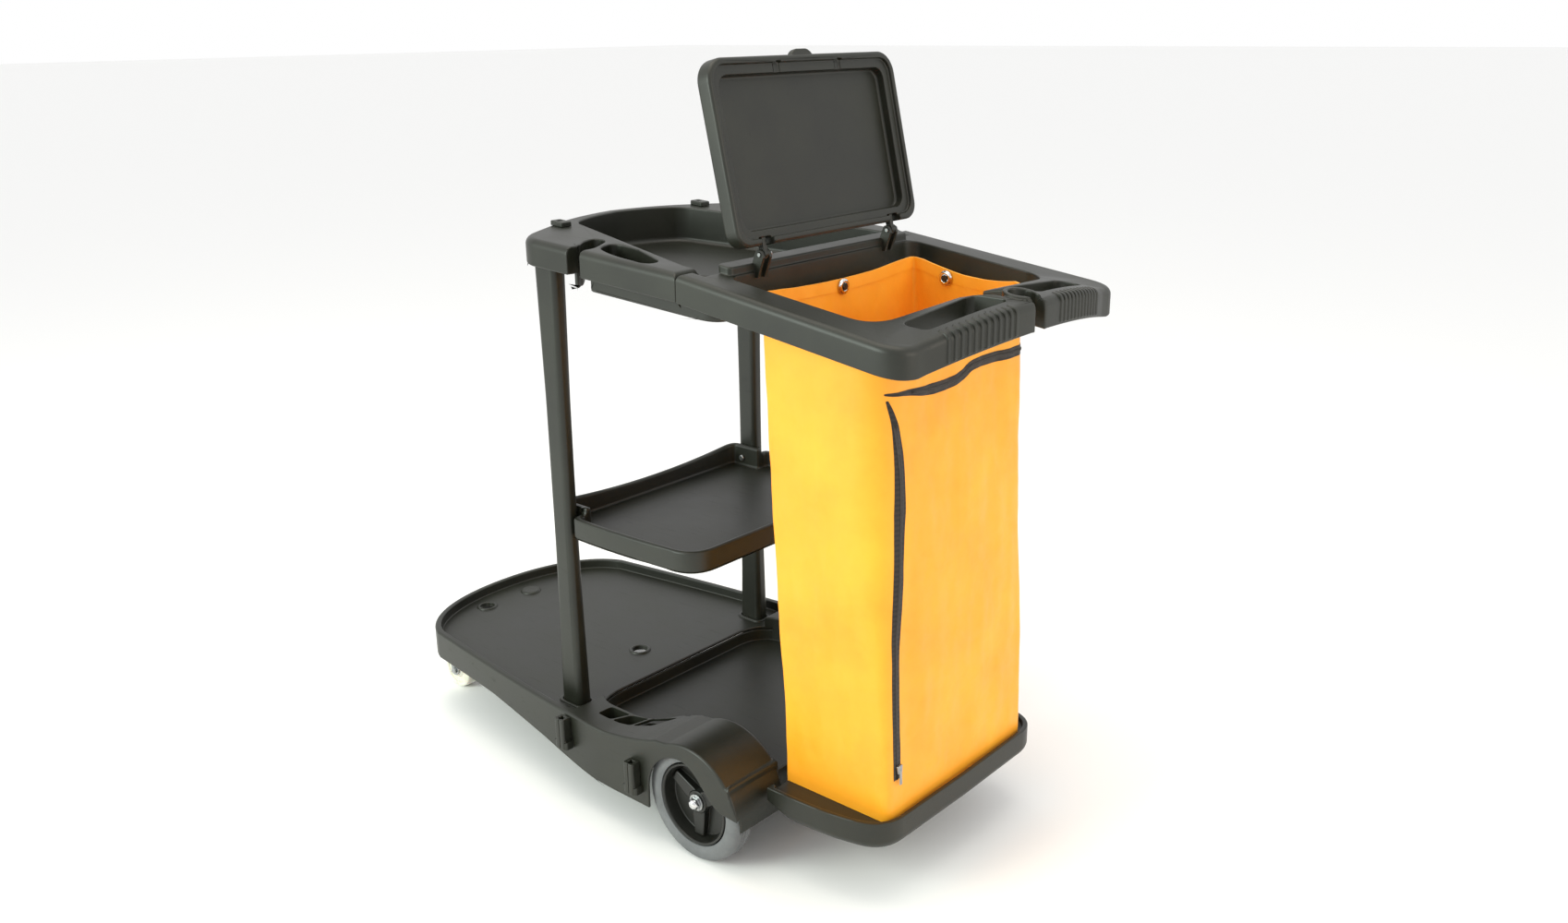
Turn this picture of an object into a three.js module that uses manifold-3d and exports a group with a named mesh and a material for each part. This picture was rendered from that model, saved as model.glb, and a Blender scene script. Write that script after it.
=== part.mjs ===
// A housekeeping cart: a moulded deck on two large wheels and two casters, two posts,
// a middle shelf, a top tray, and a rear frame that carries a zipped collecting bag
// under a hinged lid.
// Millimetres, +Z up, +X to the rear handle, origin on the floor under the cart's middle.

import * as THREE from "three";
import { mergeVertices } from "three/addons/utils/BufferGeometryUtils.js";
import Module from "manifold-3d";

const wasm = await Module();
wasm.setup();

// ---- Driving dimensions. Lengthwise places are measured from the posts. ----

const POSTS_TO_MIDDLE = -120; // where the posts stand from the cart's middle
const GAP = 0.4; // between pieces that rest on each other
const PLASTIC = 5; // usual wall of the mouldings

// base
const DECK_FRONT = -510;
const DECK_REAR = 424;
const HALF_WIDTH = 297;
const RIM_TOP = 165;
const DECK_FLOOR = 147;
const TRAY_FLOOR = 118;
const TRAY_UNDERSIDE = 112;
const REAR_LIP_Z = 148;
const LIP = 12;
const SKIRT_FRONT_Z = 107;
const SKIRT_WHEEL_Z = 63;

// rear wheels
const WHEEL_X = 333;
const WHEEL_RADIUS = 98;
const WHEEL_OUTER_Y = 286;
const TYRE_WIDTH = 40;
const RIM_RADIUS = 69;
const AXLE_RADIUS = 6;
const FENDER_RADIUS = 107;
const WELL_RADIUS = 102;
const FENDER_INNER_Y = 183;
const FENDER_END_Z = 90; // the lower end of its rear wall

// front casters
const CASTER_X = -425;
const CASTER_Y = 150;
const CASTER_WHEEL_RADIUS = 37.5;
const CASTER_TRAIL = -28; // the wheels stand ahead of their pins, as after a pull backwards
const CASTER_TOP = 128;

// posts
const POST_Y = 230;
const POST_FOOT = 122;
const POST_TOP = 946;
const POST_WIDTHS = [[50, 30], [43, 25], [52, 30]]; // foot, waist, top
const POST_CORNER = 9;

// middle shelf
const SHELF_RIM_Z = 508;
const SHELF_UNDERSIDE = 460;
const SHELF_REAR = 306;
const SHELF_HALF_WIDTH = 246;

// top tray and bag frame
const TRAY_TOP_AT_POSTS = 957;
const TRAY_SLOPE = 0.0625;
const SEAM_X = 322;
const FRAME_SLOPE = 0.132;
const RAIL_DEPTH = 42;
const RAIL_OUTER_Y = 271;
const FRAME_REAR = 720;
const HANDLE_BOW = 30; // how far the handle bows back in its middle
const HANDLE_ARCH = 28; // how far it rises there
const HANDLE_HALF_SPAN = 236;

// lid
const HINGE_X = 383;
const HINGE_Z = 955;
const LID_LENGTH = 275;
const LID_WIDTH = 423;
const LID_THICKNESS = 26;
const LID_OPEN_LEAN = 12.7; // degrees past upright, towards the front

// bag and its platform
const BAG_FLOOR_Z = 140.4;
const BAG_RIM_Z = 905; // at its front; the rim falls to the rear
const BAG_RIM_FALL = 0.1;
const BAG_BOTTOM = [442, 642]; // front and rear faces at the platform
const BAG_MOUTH = [403, 617]; // front and rear faces at the rim
const BAG_HALF_WIDTH = 185;
const BAG_WALL = 2.5;
const PLATFORM_FRONT = 446;
const PLATFORM_REAR = 658;
const PLATFORM_RIM = 150;
const PLATFORM_UNDERSIDE = 104;
const ARM_END = 530; // how far the arms under the tray run into the platform

// small pieces
const SHELF_SCREW_Z = 484;
const SHELF_SCREW_HEAD_Y = POST_Y - 29;
const PAN_DEPTH = 66;
const HINGE_RAIL_HEIGHT = 12;
const CUP_X = 718; // the tool cup in the middle of the handle
const PIN_RADIUS = 3;
const LID_LUGS = [151, -151];
const EYELET_DROP = 16; // below the bag's rim
const ZIP_Y = -160;
const ZIP_BOTTOM_Z = 212;
const ZIP_TOP_Z = 784;
const ZIP_TAPE_WIDTH = 16;

const SIDES = [["left", 1], ["right", -1]]; // left is at positive Y

// ---- Finishes ----

const finish = (color, roughness, metalness = 0) =>
  new THREE.MeshStandardMaterial({ color, roughness, metalness });
const blackPlastic = () => finish(0x24251f, 0.5);
const greyRubber = () => finish(0x7c7d7e, 0.8);
const creamNylon = () => finish(0xe6e2d3, 0.5);
const chrome = () => finish(0xd8d8d8, 0.2, 1);
const zincSteel = () => finish(0xa9abac, 0.4, 1);
const vinyl = () => finish(0xffb32c, 0.55);
const zipTape = () => finish(0x1c150f, 0.8);

// ---- Solids: closed meshes joined and cut ----

const root = new THREE.Group();
const cart = new THREE.Group();
cart.position.x = POSTS_TO_MIDDLE;
root.add(cart);

function solid(geometry) {
  const bare = geometry.clone();
  bare.deleteAttribute("normal");
  bare.deleteAttribute("uv");
  const merged = mergeVertices(bare, 1e-3);
  return new wasm.Manifold(
    new wasm.Mesh({
      numProp: 3,
      vertProperties: merged.attributes.position.array,
      triVerts: new Uint32Array(merged.index.array),
    }),
  );
}

const union = (first, ...rest) => rest.reduce((sum, piece) => sum.add(piece), first);
const cut = (body, ...tools) => tools.reduce((left, tool) => left.subtract(tool), body);

function geometryOf(body) {
  const mesh = body.getMesh();
  const stride = mesh.numProp;
  const points = new Float32Array(mesh.numVert * 3);
  for (let i = 0; i < mesh.numVert; i++) {
    points.set(mesh.vertProperties.subarray(i * stride, i * stride + 3), i * 3);
  }
  const geometry = new THREE.BufferGeometry();
  geometry.setAttribute("position", new THREE.BufferAttribute(points, 3));
  geometry.setIndex(new THREE.BufferAttribute(mesh.triVerts, 1));
  return geometry;
}

// Puts a finished piece in the cart under its own name.
function place(name, body, material, group = cart) {
  const geometry = body.isBufferGeometry ? body : geometryOf(body);
  const mesh = new THREE.Mesh(geometry, material);
  mesh.name = name;
  group.add(mesh);
  return mesh;
}

// The piece on the other side of the cart's middle plane.
function mirrored(body) {
  const geometry = geometryOf(body);
  geometry.scale(1, -1, 1);
  geometry.index.array.reverse();
  return solid(geometry);
}

const withTwin = (body) => union(body, mirrored(body));
const onSide = (body, sign) => (sign > 0 ? body : mirrored(body));

// ---- Outlines ----

// A closed outline with each corner rounded. A point is [x, y] or [x, y, radius].
function roundedOutline(points, radius = 0) {
  const shape = new THREE.Shape();
  const corners = points.map(([x, y, r = radius]) => [new THREE.Vector2(x, y), r]);
  corners.forEach(([corner, r], i) => {
    const before = corners.at(i - 1)[0];
    const after = corners[(i + 1) % corners.length][0];
    const reach = Math.min(r, 0.48 * corner.distanceTo(before), 0.48 * corner.distanceTo(after));
    const start = corner.clone().add(before.clone().sub(corner).setLength(reach));
    const end = corner.clone().add(after.clone().sub(corner).setLength(reach));
    if (i === 0) shape.moveTo(start.x, start.y);
    else shape.lineTo(start.x, start.y);
    if (r > 0) shape.quadraticCurveTo(corner.x, corner.y, end.x, end.y);
  });
  shape.closePath();
  return shape;
}

const rectangle = (x0, x1, y0, y1, radius = 0) =>
  roundedOutline([[x0, y0], [x1, y0], [x1, y1], [x0, y1]], radius);

// A full outline from its half at positive Y, drawn from the front to the rear.
function bothSides(half, segments = 5) {
  const points = half.getPoints(segments);
  const others = points.map((p) => new THREE.Vector2(p.x, -p.y)).reverse();
  return new THREE.Shape([...points, ...others]);
}

// ---- Prisms ----

// An outline carried a depth along +Z from z = 0, with both rims chamfered by an edge.
function extruded(shape, depth, segments, edge = 0) {
  const geometry = new THREE.ExtrudeGeometry(shape, {
    depth: depth - 2 * edge,
    bevelEnabled: edge > 0,
    bevelSize: edge,
    bevelOffset: -edge,
    bevelThickness: edge,
    bevelSegments: 1,
    curveSegments: segments,
  });
  return geometry.translate(0, 0, edge);
}

// An outline in plan, raised from z0 to z1.
const plate = (shape, z0, z1, edge = 0, segments = 3) =>
  solid(extruded(shape, z1 - z0, segments, edge).translate(0, 0, z0));

// An outline in side view (x, z), carried across from y0 to y1.
const slab = (shape, y0, y1, edge = 0, segments = 5) =>
  solid(extruded(shape, y1 - y0, segments, edge).rotateX(Math.PI / 2).translate(0, y1, 0));

const block = (x0, x1, y0, y1, z0, z1) =>
  solid(
    new THREE.BoxGeometry(x1 - x0, y1 - y0, z1 - z0).translate(
      (x0 + x1) / 2,
      (y0 + y1) / 2,
      (z0 + z1) / 2,
    ),
  );

// Round bars along each axis.
function barZ(radius, x, y, z0, z1, sides = 16) {
  const geometry = new THREE.CylinderGeometry(radius, radius, z1 - z0, sides);
  return solid(geometry.rotateX(Math.PI / 2).translate(x, y, (z0 + z1) / 2));
}

function barY(radius, x, z, y0, y1, sides = 16) {
  const geometry = new THREE.CylinderGeometry(radius, radius, y1 - y0, sides);
  return solid(geometry.translate(x, (y0 + y1) / 2, z));
}

// A turned piece about an axis along Y, from points [radius, y].
function turnedY(points, x, z, sides = 24) {
  const profile = points.map(([radius, y]) => new THREE.Vector2(radius, y));
  return solid(new THREE.LatheGeometry(profile, sides).translate(x, 0, z));
}

// The top slopes down to the rear: each point drops with its distance from x0.
function sloped(body, slope, x0, z0) {
  const drop = new THREE.Matrix4().set(
    1, 0, 0, 0,
    0, 1, 0, 0,
    -slope, 0, 1, z0 + slope * x0,
    0, 0, 0, 1,
  );
  return solid(geometryOf(body).applyMatrix4(drop));
}

// ---- Base ----

// The deck in plan, drawn inset by a wall.
function deckPlan(inset) {
  const half = new THREE.Path();
  half.moveTo(DECK_FRONT + inset, 0);
  half.bezierCurveTo(
    DECK_FRONT + inset, 130,
    -462 + 0.8 * inset, 216 - 0.7 * inset,
    -392, 240 - inset,
  );
  half.quadraticCurveTo(-90, 284 - inset, 110, HALF_WIDTH - inset);
  half.lineTo(DECK_REAR - inset, HALF_WIDTH - inset);
  return bothSides(half, 7);
}

// The recess of the front deck, which opens into the rear tray.
function deckRecess() {
  const half = new THREE.Path();
  half.moveTo(DECK_FRONT + LIP, 0);
  half.bezierCurveTo(DECK_FRONT + LIP, 126, -453, 207, -388, 228);
  half.quadraticCurveTo(-90, 271, 0, 275);
  half.lineTo(26, 276);
  half.quadraticCurveTo(46, 276, 46, 256);
  half.lineTo(46, 200);
  return bothSides(half, 6);
}

// The rear tray recess, grown outward by a wall for the pan under it.
function trayPlan(grow) {
  const half = new THREE.Path();
  half.moveTo(26 - grow, 0);
  half.lineTo(26 - grow, 150 + grow);
  half.bezierCurveTo(26 - grow, 200 + grow, 50, 222 + grow, 90, 222 + grow);
  half.lineTo(160, 222 + grow);
  half.bezierCurveTo(215, 222 + grow, 205, FENDER_INNER_Y + grow, 262, FENDER_INNER_Y + grow);
  half.lineTo(DECK_REAR - 7, FENDER_INNER_Y + grow);
  return bothSides(half, 5);
}

// Side view of a fender, from the deck's rim over the wheel.
function fenderProfile(inset = 0) {
  const shape = new THREE.Shape();
  const radius = FENDER_RADIUS - inset;
  shape.moveTo(112 + inset, 90);
  shape.lineTo(112 + inset, RIM_TOP - 3 - inset);
  shape.quadraticCurveTo(205, 170 - inset, 262, 192 - inset);
  shape.absarc(WHEEL_X, WHEEL_RADIUS, radius, 2.0, 0, true);
  shape.lineTo(WHEEL_X + radius, FENDER_END_Z);
  shape.closePath();
  return shape;
}

// The opening in the fender's outer wall, which leaves the wheel's front half in view.
function archOpening() {
  const shape = new THREE.Shape();
  shape.moveTo(246, 20);
  shape.lineTo(246, 96);
  shape.bezierCurveTo(246, 150, 285, 176, 320, 176);
  shape.bezierCurveTo(362, 174, 372, 118, 412, 115);
  shape.lineTo(460, 112);
  shape.lineTo(460, 20);
  shape.closePath();
  return shape;
}

// Everything below the skirt's lower edge, which runs down towards the wheels.
function belowSkirt() {
  return new THREE.Shape(
    [
      [-560, SKIRT_FRONT_Z + 1], [-330, SKIRT_FRONT_Z + 4], [-190, SKIRT_FRONT_Z + 4],
      [-30, 90], [70, 71], [160, SKIRT_WHEEL_Z], [400, SKIRT_WHEEL_Z], [400, FENDER_END_Z - 1],
      [470, FENDER_END_Z - 1], [470, -40], [-560, -40],
    ].map(([x, z]) => new THREE.Vector2(x, z)),
  );
}

// Three pockets in the rim beside the tray, with two leaning dividers between them.
function rimPockets() {
  const pockets = [
    [[90, 229], [134, 228], [120, 260], [88, 259]],
    [[139, 228], [176, 224], [165, 257], [125, 260]],
    [[181, 223], [224, 203], [203, 243], [170, 256]],
  ];
  return pockets.map((corners) => plate(roundedOutline(corners, 5), 132, 190, 0, 2));
}

const DECK_HOLES = [[-450, -80], [-63, -21]]; // open holes in the front deck
const PLUG_AT = [-445, 28]; // a third hole, plugged
const HOLE_RADIUS = 14;

function basePlatform() {
  const skirt = plate(deckPlan(0), 40, RIM_TOP, 4);
  const fender = slab(fenderProfile(), FENDER_INNER_Y, HALF_WIDTH, 5);
  const socket = plate(rectangle(-33, 33, POST_Y - 22, POST_Y + 22, 6), 114, DECK_FLOOR - 2);
  const casterPad = barZ(34, CASTER_X, CASTER_Y, CASTER_TOP, DECK_FLOOR - 3, 20);
  const pocketBlock = plate(
    roundedOutline([[60, 208], [176, 208], [228, 188], [228, 290], [60, 290]], 4),
    126,
    RIM_TOP - 2,
  );
  const wallY = FENDER_INNER_Y + PLASTIC;
  const axleWall = block(WHEEL_X - 40, WHEEL_X + 40, FENDER_INNER_Y, wallY, 82, 130);
  const pan = plate(trayPlan(PLASTIC), TRAY_UNDERSIDE, 140);

  let body = cut(skirt, plate(deckPlan(PLASTIC), 20, DECK_FLOOR - 6));
  body = union(body, withTwin(fender));
  body = cut(body, withTwin(wheelWell()));
  body = union(body, pan, withTwin(union(socket, casterPad, pocketBlock, axleWall)));
  body = cut(
    body,
    plate(deckRecess(), DECK_FLOOR, 260),
    plate(trayPlan(0), TRAY_FLOOR, 260),
    withTwin(union(...rimPockets())),
    withTwin(slab(archOpening(), HALF_WIDTH - 10, HALF_WIDTH + 10)),
    slab(belowSkirt(), -330, 330),
    withTwin(postSocket()),
    ...[...DECK_HOLES, PLUG_AT].map(([x, y]) => barZ(HOLE_RADIUS, x, y, 100, 180, 20)),
    barY(AXLE_RADIUS + GAP, WHEEL_X, WHEEL_RADIUS, -240, 240),
    ...platformScrewHoles(),
    block(380, 440, -FENDER_INNER_Y, FENDER_INNER_Y, 20, TRAY_UNDERSIDE),
    block(380, 440, -FENDER_INNER_Y, FENDER_INNER_Y, REAR_LIP_Z, 220),
  );
  place("base_platform", body, blackPlastic());
}

// The hollow over each rear wheel, open below.
function wheelWell() {
  const y0 = FENDER_INNER_Y + PLASTIC;
  const y1 = HALF_WIDTH - PLASTIC;
  const round = barY(WELL_RADIUS, WHEEL_X, WHEEL_RADIUS, y0, y1, 32);
  const below = block(WHEEL_X - WELL_RADIUS, WHEEL_X + WELL_RADIUS, y0, y1, 20, WHEEL_RADIUS);
  const front = slab(fenderProfile(PLASTIC + 1), y0, y1);
  const onlyOverPockets = block(80, 250, y0 - 1, y1 + 1, 0, 240);
  return union(round, below, front.intersect(onlyOverPockets));
}

const postSocket = () =>
  plate(rectangle(-25.5, 25.5, POST_Y - 15.5, POST_Y + 15.5, POST_CORNER), POST_FOOT - GAP, 200);

function deckPlug() {
  const [x, y] = PLUG_AT;
  const stem = barZ(HOLE_RADIUS - GAP, x, y, DECK_FLOOR - 4, DECK_FLOOR + 1, 20);
  const cap = solid(
    new THREE.LatheGeometry(
      [[0, 0], [19, 0], [19, 1.5], [17, 3.5], [0, 3.5]].map(([r, z]) => new THREE.Vector2(r, z)),
      24,
    ).rotateX(Math.PI / 2).translate(x, y, DECK_FLOOR + GAP),
  );
  place("deck_plug", union(cap, stem), blackPlastic());
}

// ---- Rear wheels ----

function rearWheel(side, sign) {
  const inner = WHEEL_OUTER_Y - TYRE_WIDTH;
  const outer = WHEEL_OUTER_Y;
  const tyre = turnedY(
    [
      [RIM_RADIUS + GAP, inner + 5], [RIM_RADIUS + 8, inner], [WHEEL_RADIUS - 9, inner],
      [WHEEL_RADIUS - 2, inner + 4], [WHEEL_RADIUS, inner + 11], [WHEEL_RADIUS, outer - 11],
      [WHEEL_RADIUS - 2, outer - 4], [WHEEL_RADIUS - 9, outer], [RIM_RADIUS + 8, outer],
      [RIM_RADIUS + GAP, outer - 5], [RIM_RADIUS + GAP, inner + 5],
    ],
    WHEEL_X,
    WHEEL_RADIUS,
    32,
  );
  place(`rear_tyre_${side}`, onSide(tyre, sign), greyRubber());

  const rim = turnedY(
    [
      [RIM_RADIUS - 7, inner + 2], [RIM_RADIUS, inner + 2], [RIM_RADIUS, outer - 2],
      [RIM_RADIUS - 5, outer - 2], [RIM_RADIUS - 9, outer - 22], [RIM_RADIUS - 9, inner + 14],
      [RIM_RADIUS - 7, inner + 2],
    ],
    WHEEL_X,
    WHEEL_RADIUS,
    32,
  );
  const boss = barY(19, WHEEL_X, WHEEL_RADIUS, inner, outer - 12, 20);
  const web = barY(RIM_RADIUS - 6, WHEEL_X, WHEEL_RADIUS, outer - 30, outer - 25, 32);
  const spokes = [90, 210, 330].map((degrees) => hubSpoke(degrees, inner + 6, outer - 14));
  const bore = barY(11, WHEEL_X, WHEEL_RADIUS, inner - 5, outer + 5, 20);
  const hub = cut(union(rim, boss, web, ...spokes), bore);
  place(`rear_hub_${side}`, onSide(hub, sign), blackPlastic());

  const bush = turnedY(
    [
      [AXLE_RADIUS + 0.3, inner + 0.5], [10.6, inner + 0.5], [10.6, outer - 12.5],
      [AXLE_RADIUS + 0.3, outer - 12.5], [AXLE_RADIUS + 0.3, inner + 0.5],
    ],
    WHEEL_X,
    WHEEL_RADIUS,
    20,
  );
  place(`rear_bush_${side}`, onSide(bush, sign), creamNylon());

  const washer = turnedY(
    [
      [AXLE_RADIUS + 0.3, outer - 11.6], [14, outer - 11.6], [14, outer - 9.6],
      [AXLE_RADIUS + 0.3, outer - 9.6], [AXLE_RADIUS + 0.3, outer - 11.6],
    ],
    WHEEL_X,
    WHEEL_RADIUS,
    16,
  );
  place(`rear_washer_${side}`, onSide(washer, sign), zincSteel());

  const nutBody = turnedY(
    [[0, outer - 9.2], [9.5, outer - 9.2], [9.5, outer - 3], [7, outer + 1], [0, outer + 2.5]],
    WHEEL_X,
    WHEEL_RADIUS,
    6,
  );
  const nutBore = barY(AXLE_RADIUS + 0.5, WHEEL_X, WHEEL_RADIUS, outer - 20, outer - 2.6, 12);
  const capNut = cut(nutBody, nutBore);
  place(`axle_cap_nut_${side}`, onSide(capNut, sign), chrome());
}

// A broad spoke between boss and rim, standing on the web.
function hubSpoke(degrees, y0, y1) {
  const spoke = new THREE.BoxGeometry(RIM_RADIUS - 18, y1 - y0, 26);
  spoke.translate((RIM_RADIUS - 8 + 12) / 2, (y0 + y1) / 2, 0);
  spoke.rotateY(-THREE.MathUtils.degToRad(degrees));
  return solid(spoke.translate(WHEEL_X, 0, WHEEL_RADIUS));
}

function rearAxle() {
  const end = WHEEL_OUTER_Y - 3.2;
  place("rear_axle", barY(AXLE_RADIUS, WHEEL_X, WHEEL_RADIUS, -end, end), zincSteel());
  for (const [side, sign] of SIDES) {
    const spacer = turnedY(
      [
        [AXLE_RADIUS + 0.3, 188.4], [11, 188.4], [11, WHEEL_OUTER_Y - TYRE_WIDTH - 0.5],
        [AXLE_RADIUS + 0.3, WHEEL_OUTER_Y - TYRE_WIDTH - 0.5], [AXLE_RADIUS + 0.3, 188.4],
      ],
      WHEEL_X,
      WHEEL_RADIUS,
    );
    place(`axle_spacer_${side}`, onSide(spacer, sign), blackPlastic());
  }
}

// ---- Casters ----

function caster(side, sign) {
  const y = sign * CASTER_Y;
  const axleX = CASTER_X + CASTER_TRAIL;
  const axleZ = CASTER_WHEEL_RADIUS;
  const topPlate = union(
    plate(rectangle(CASTER_X - 30, CASTER_X + 30, y - 24, y + 24, 6), CASTER_TOP - 4.4, CASTER_TOP - GAP),
    barZ(16, CASTER_X, y, CASTER_TOP - 12, CASTER_TOP - 4, 20),
    barZ(5, CASTER_X, y, CASTER_TOP - 27, CASTER_TOP - 4, 12),
  );
  place(`caster_plate_${side}`, topPlate, zincSteel());

  const cheek = new THREE.Shape();
  cheek.moveTo(CASTER_X + 18, CASTER_TOP - 17);
  cheek.lineTo(CASTER_X - 22, CASTER_TOP - 17);
  cheek.quadraticCurveTo(axleX - 16, 76, axleX - 11, axleZ);
  cheek.absarc(axleX, axleZ, 11, Math.PI, 2 * Math.PI, false);
  cheek.quadraticCurveTo(CASTER_X - 4, 80, CASTER_X + 18, CASTER_TOP - 17);
  const crown = cut(
    barZ(22, CASTER_X, y, CASTER_TOP - 20, CASTER_TOP - 12.5, 20),
    barZ(5.4, CASTER_X, y, CASTER_TOP - 22, CASTER_TOP - 8, 12),
  );
  const headRoom = barZ(9, CASTER_X, y, CASTER_TOP - 50, CASTER_TOP - 20, 12);
  const cheeks = union(slab(cheek, y - 19, y - 16.5), slab(cheek, y + 16.5, y + 19));
  const bore = barY(4.4, axleX, axleZ, y - 25, y + 25, 12);
  place(`caster_fork_${side}`, cut(union(crown, cut(cheeks, headRoom)), bore), zincSteel());

  const kingpinNut = cut(
    barZ(8.5, CASTER_X, y, CASTER_TOP - 27, CASTER_TOP - 20.5, 6),
    barZ(5.3, CASTER_X, y, CASTER_TOP - 40, CASTER_TOP, 12),
  );
  place(`caster_kingpin_nut_${side}`, kingpinNut, zincSteel());

  const tread = CASTER_WHEEL_RADIUS;
  const wheel = turnedY(
    [
      [4.4, y - 14], [15, y - 14], [17, y - 10.5], [tread - 3, y - 12.5], [tread, y - 8],
      [tread, y + 8], [tread - 3, y + 12.5], [17, y + 10.5], [15, y + 14], [4.4, y + 14],
      [4.4, y - 14],
    ],
    axleX,
    axleZ,
    20,
  );
  place(`caster_wheel_${side}`, wheel, creamNylon());

  const axle = union(
    barY(4, axleX, axleZ, y - 19.4, y + 19.4, 12),
    barY(7, axleX, axleZ, y - 23, y - 19.4, 6),
    barY(7, axleX, axleZ, y + 19.4, y + 23, 6),
  );
  place(`caster_axle_${side}`, axle, zincSteel());
}

// ---- Posts ----

const POST_HEIGHTS = [POST_FOOT, 540, POST_TOP];

// The post's section, inset by its wall.
function postSection(width, depth, inset) {
  const x = width / 2 - inset;
  const y = depth / 2 - inset;
  return rectangle(-x, x, -y, y, POST_CORNER - inset).getPoints(3);
}

// A stack of like sections joined into one closed skin.
function loft(sections) {
  const count = sections[0].length;
  const points = sections.flat();
  const faces = [];
  for (let level = 0; level + 1 < sections.length; level++) {
    for (let i = 0; i < count; i++) {
      const a = level * count + i;
      const b = level * count + ((i + 1) % count);
      faces.push([a, b, b + count], [a, b + count, a + count]);
    }
  }
  const ring = sections[0].map(([x, y]) => new THREE.Vector2(x, y));
  const top = (sections.length - 1) * count;
  for (const [a, b, c] of THREE.ShapeUtils.triangulateShape(ring, [])) {
    faces.push([a, c, b], [top + a, top + b, top + c]);
  }
  const geometry = new THREE.BufferGeometry();
  geometry.setAttribute("position", new THREE.Float32BufferAttribute(points.flat(), 3));
  geometry.setIndex(faces.flat());
  return solid(geometry);
}

function postSkin(inset, reach) {
  const sections = POST_WIDTHS.map(([width, depth], i) => {
    const z = POST_HEIGHTS[i] + (i - 1) * reach;
    const outline = postSection(width, depth, inset).slice(0, -1);
    return outline.map((p) => [p.x, p.y + POST_Y, z]);
  });
  return loft(sections);
}

function post(side, sign) {
  const tube = cut(postSkin(0, 0), postSkin(4, 2), shelfScrewHole());
  place(`post_${side}`, onSide(tube, sign), blackPlastic());
}

// ---- Middle shelf ----

function shelfPlan(inset) {
  const half = new THREE.Path();
  const inner = POST_Y - 13.5; // the shelf steps in past the post
  half.moveTo(-36 + inset, 0);
  half.lineTo(-36 + inset, 190 - inset);
  half.quadraticCurveTo(-36 + inset, inner - inset, -14, inner - inset);
  half.lineTo(28 + inset, inner - inset);
  half.lineTo(28 + inset, SHELF_HALF_WIDTH - 6 - inset);
  half.quadraticCurveTo(120, SHELF_HALF_WIDTH + 2 - inset, SHELF_REAR - 46, SHELF_HALF_WIDTH - 8 - inset);
  half.quadraticCurveTo(
    SHELF_REAR - inset, SHELF_HALF_WIDTH - 12 - inset,
    SHELF_REAR - inset, SHELF_HALF_WIDTH - 60,
  );
  half.lineTo(SHELF_REAR - inset, 0);
  return bothSides(half, 5);
}

// The rim dips in the middle of the front edge and falls a little to the rear.
function aboveShelfRim() {
  const shape = new THREE.Shape();
  shape.moveTo(-260, 560);
  shape.lineTo(-260, SHELF_RIM_Z + 6);
  shape.quadraticCurveTo(0, SHELF_RIM_Z - 30, 260, SHELF_RIM_Z + 6);
  shape.lineTo(260, 560);
  const geometry = extruded(shape, 130, 8).rotateX(Math.PI / 2).rotateZ(Math.PI / 2);
  return solid(geometry.translate(-70, 0, 0));
}

function middleShelf() {
  const rearRim = block(60, 400, -260, 260, SHELF_RIM_Z - 12, 600);
  let body = plate(shelfPlan(0), SHELF_UNDERSIDE, SHELF_RIM_Z + 10, 4);
  body = cut(
    body,
    plate(shelfPlan(11), SHELF_UNDERSIDE + 9, 600),
    plate(shelfPlan(4), SHELF_UNDERSIDE - 20, SHELF_UNDERSIDE + 4),
    aboveShelfRim(),
    rearRim,
    withTwin(shelfScrewHole()),
  );
  place("middle_shelf", body, blackPlastic());
  for (const [side, sign] of SIDES) {
    const screw = crossScrew(SHELF_SCREW_HEAD_Y, 0, SHELF_SCREW_Z);
    place(`shelf_screw_${side}`, onSide(screw, sign), zincSteel());
  }
}

// A pan-head screw lying along +Y, its head at y.
function crossScrew(y, x, z) {
  return union(
    turnedY([[0, y], [4.5, y], [6, y + 1.5], [6, y + 3], [0, y + 3]], x, z, 12),
    barY(2.4, x, z, y + 2, y + 18, 10),
  );
}

const shelfScrewHole = () =>
  barY(2.9, 0, SHELF_SCREW_Z, SHELF_SCREW_HEAD_Y - 5, SHELF_SCREW_HEAD_Y + 24, 10);

// ---- Top tray. It is drawn flat, with its top at z = 0, and then sloped. ----

const setTray = (body) => sloped(body, TRAY_SLOPE, 0, TRAY_TOP_AT_POSTS);
const setFrame = (body) =>
  sloped(body, FRAME_SLOPE, SEAM_X, TRAY_TOP_AT_POSTS - TRAY_SLOPE * SEAM_X);

function trayOutline(inset) {
  const half = new THREE.Path();
  const side = RAIL_OUTER_Y - inset;
  half.moveTo(-116 + inset, 0);
  half.quadraticCurveTo(-108 + inset, 90, -80 + inset, 150);
  half.lineTo(-44 + inset, 226);
  half.quadraticCurveTo(-24 + 0.8 * inset, side - 3, 10, side - 1);
  half.lineTo(SEAM_X, side);
  return bothSides(half, 6);
}

// The open bin in the tray, widening to the rear.
function binPlan(grow) {
  const half = new THREE.Path();
  half.moveTo(-92 - grow, 0);
  half.quadraticCurveTo(-84 - grow, 70, -66 - grow, 104);
  half.quadraticCurveTo(-58 - grow, 122 + grow, -34, 128 + grow);
  half.lineTo(285, 220 + grow);
  half.quadraticCurveTo(338 + grow, 232 + grow, 338 + grow, 200);
  half.lineTo(338 + grow, 0);
  return bothSides(half, 4);
}

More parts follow.
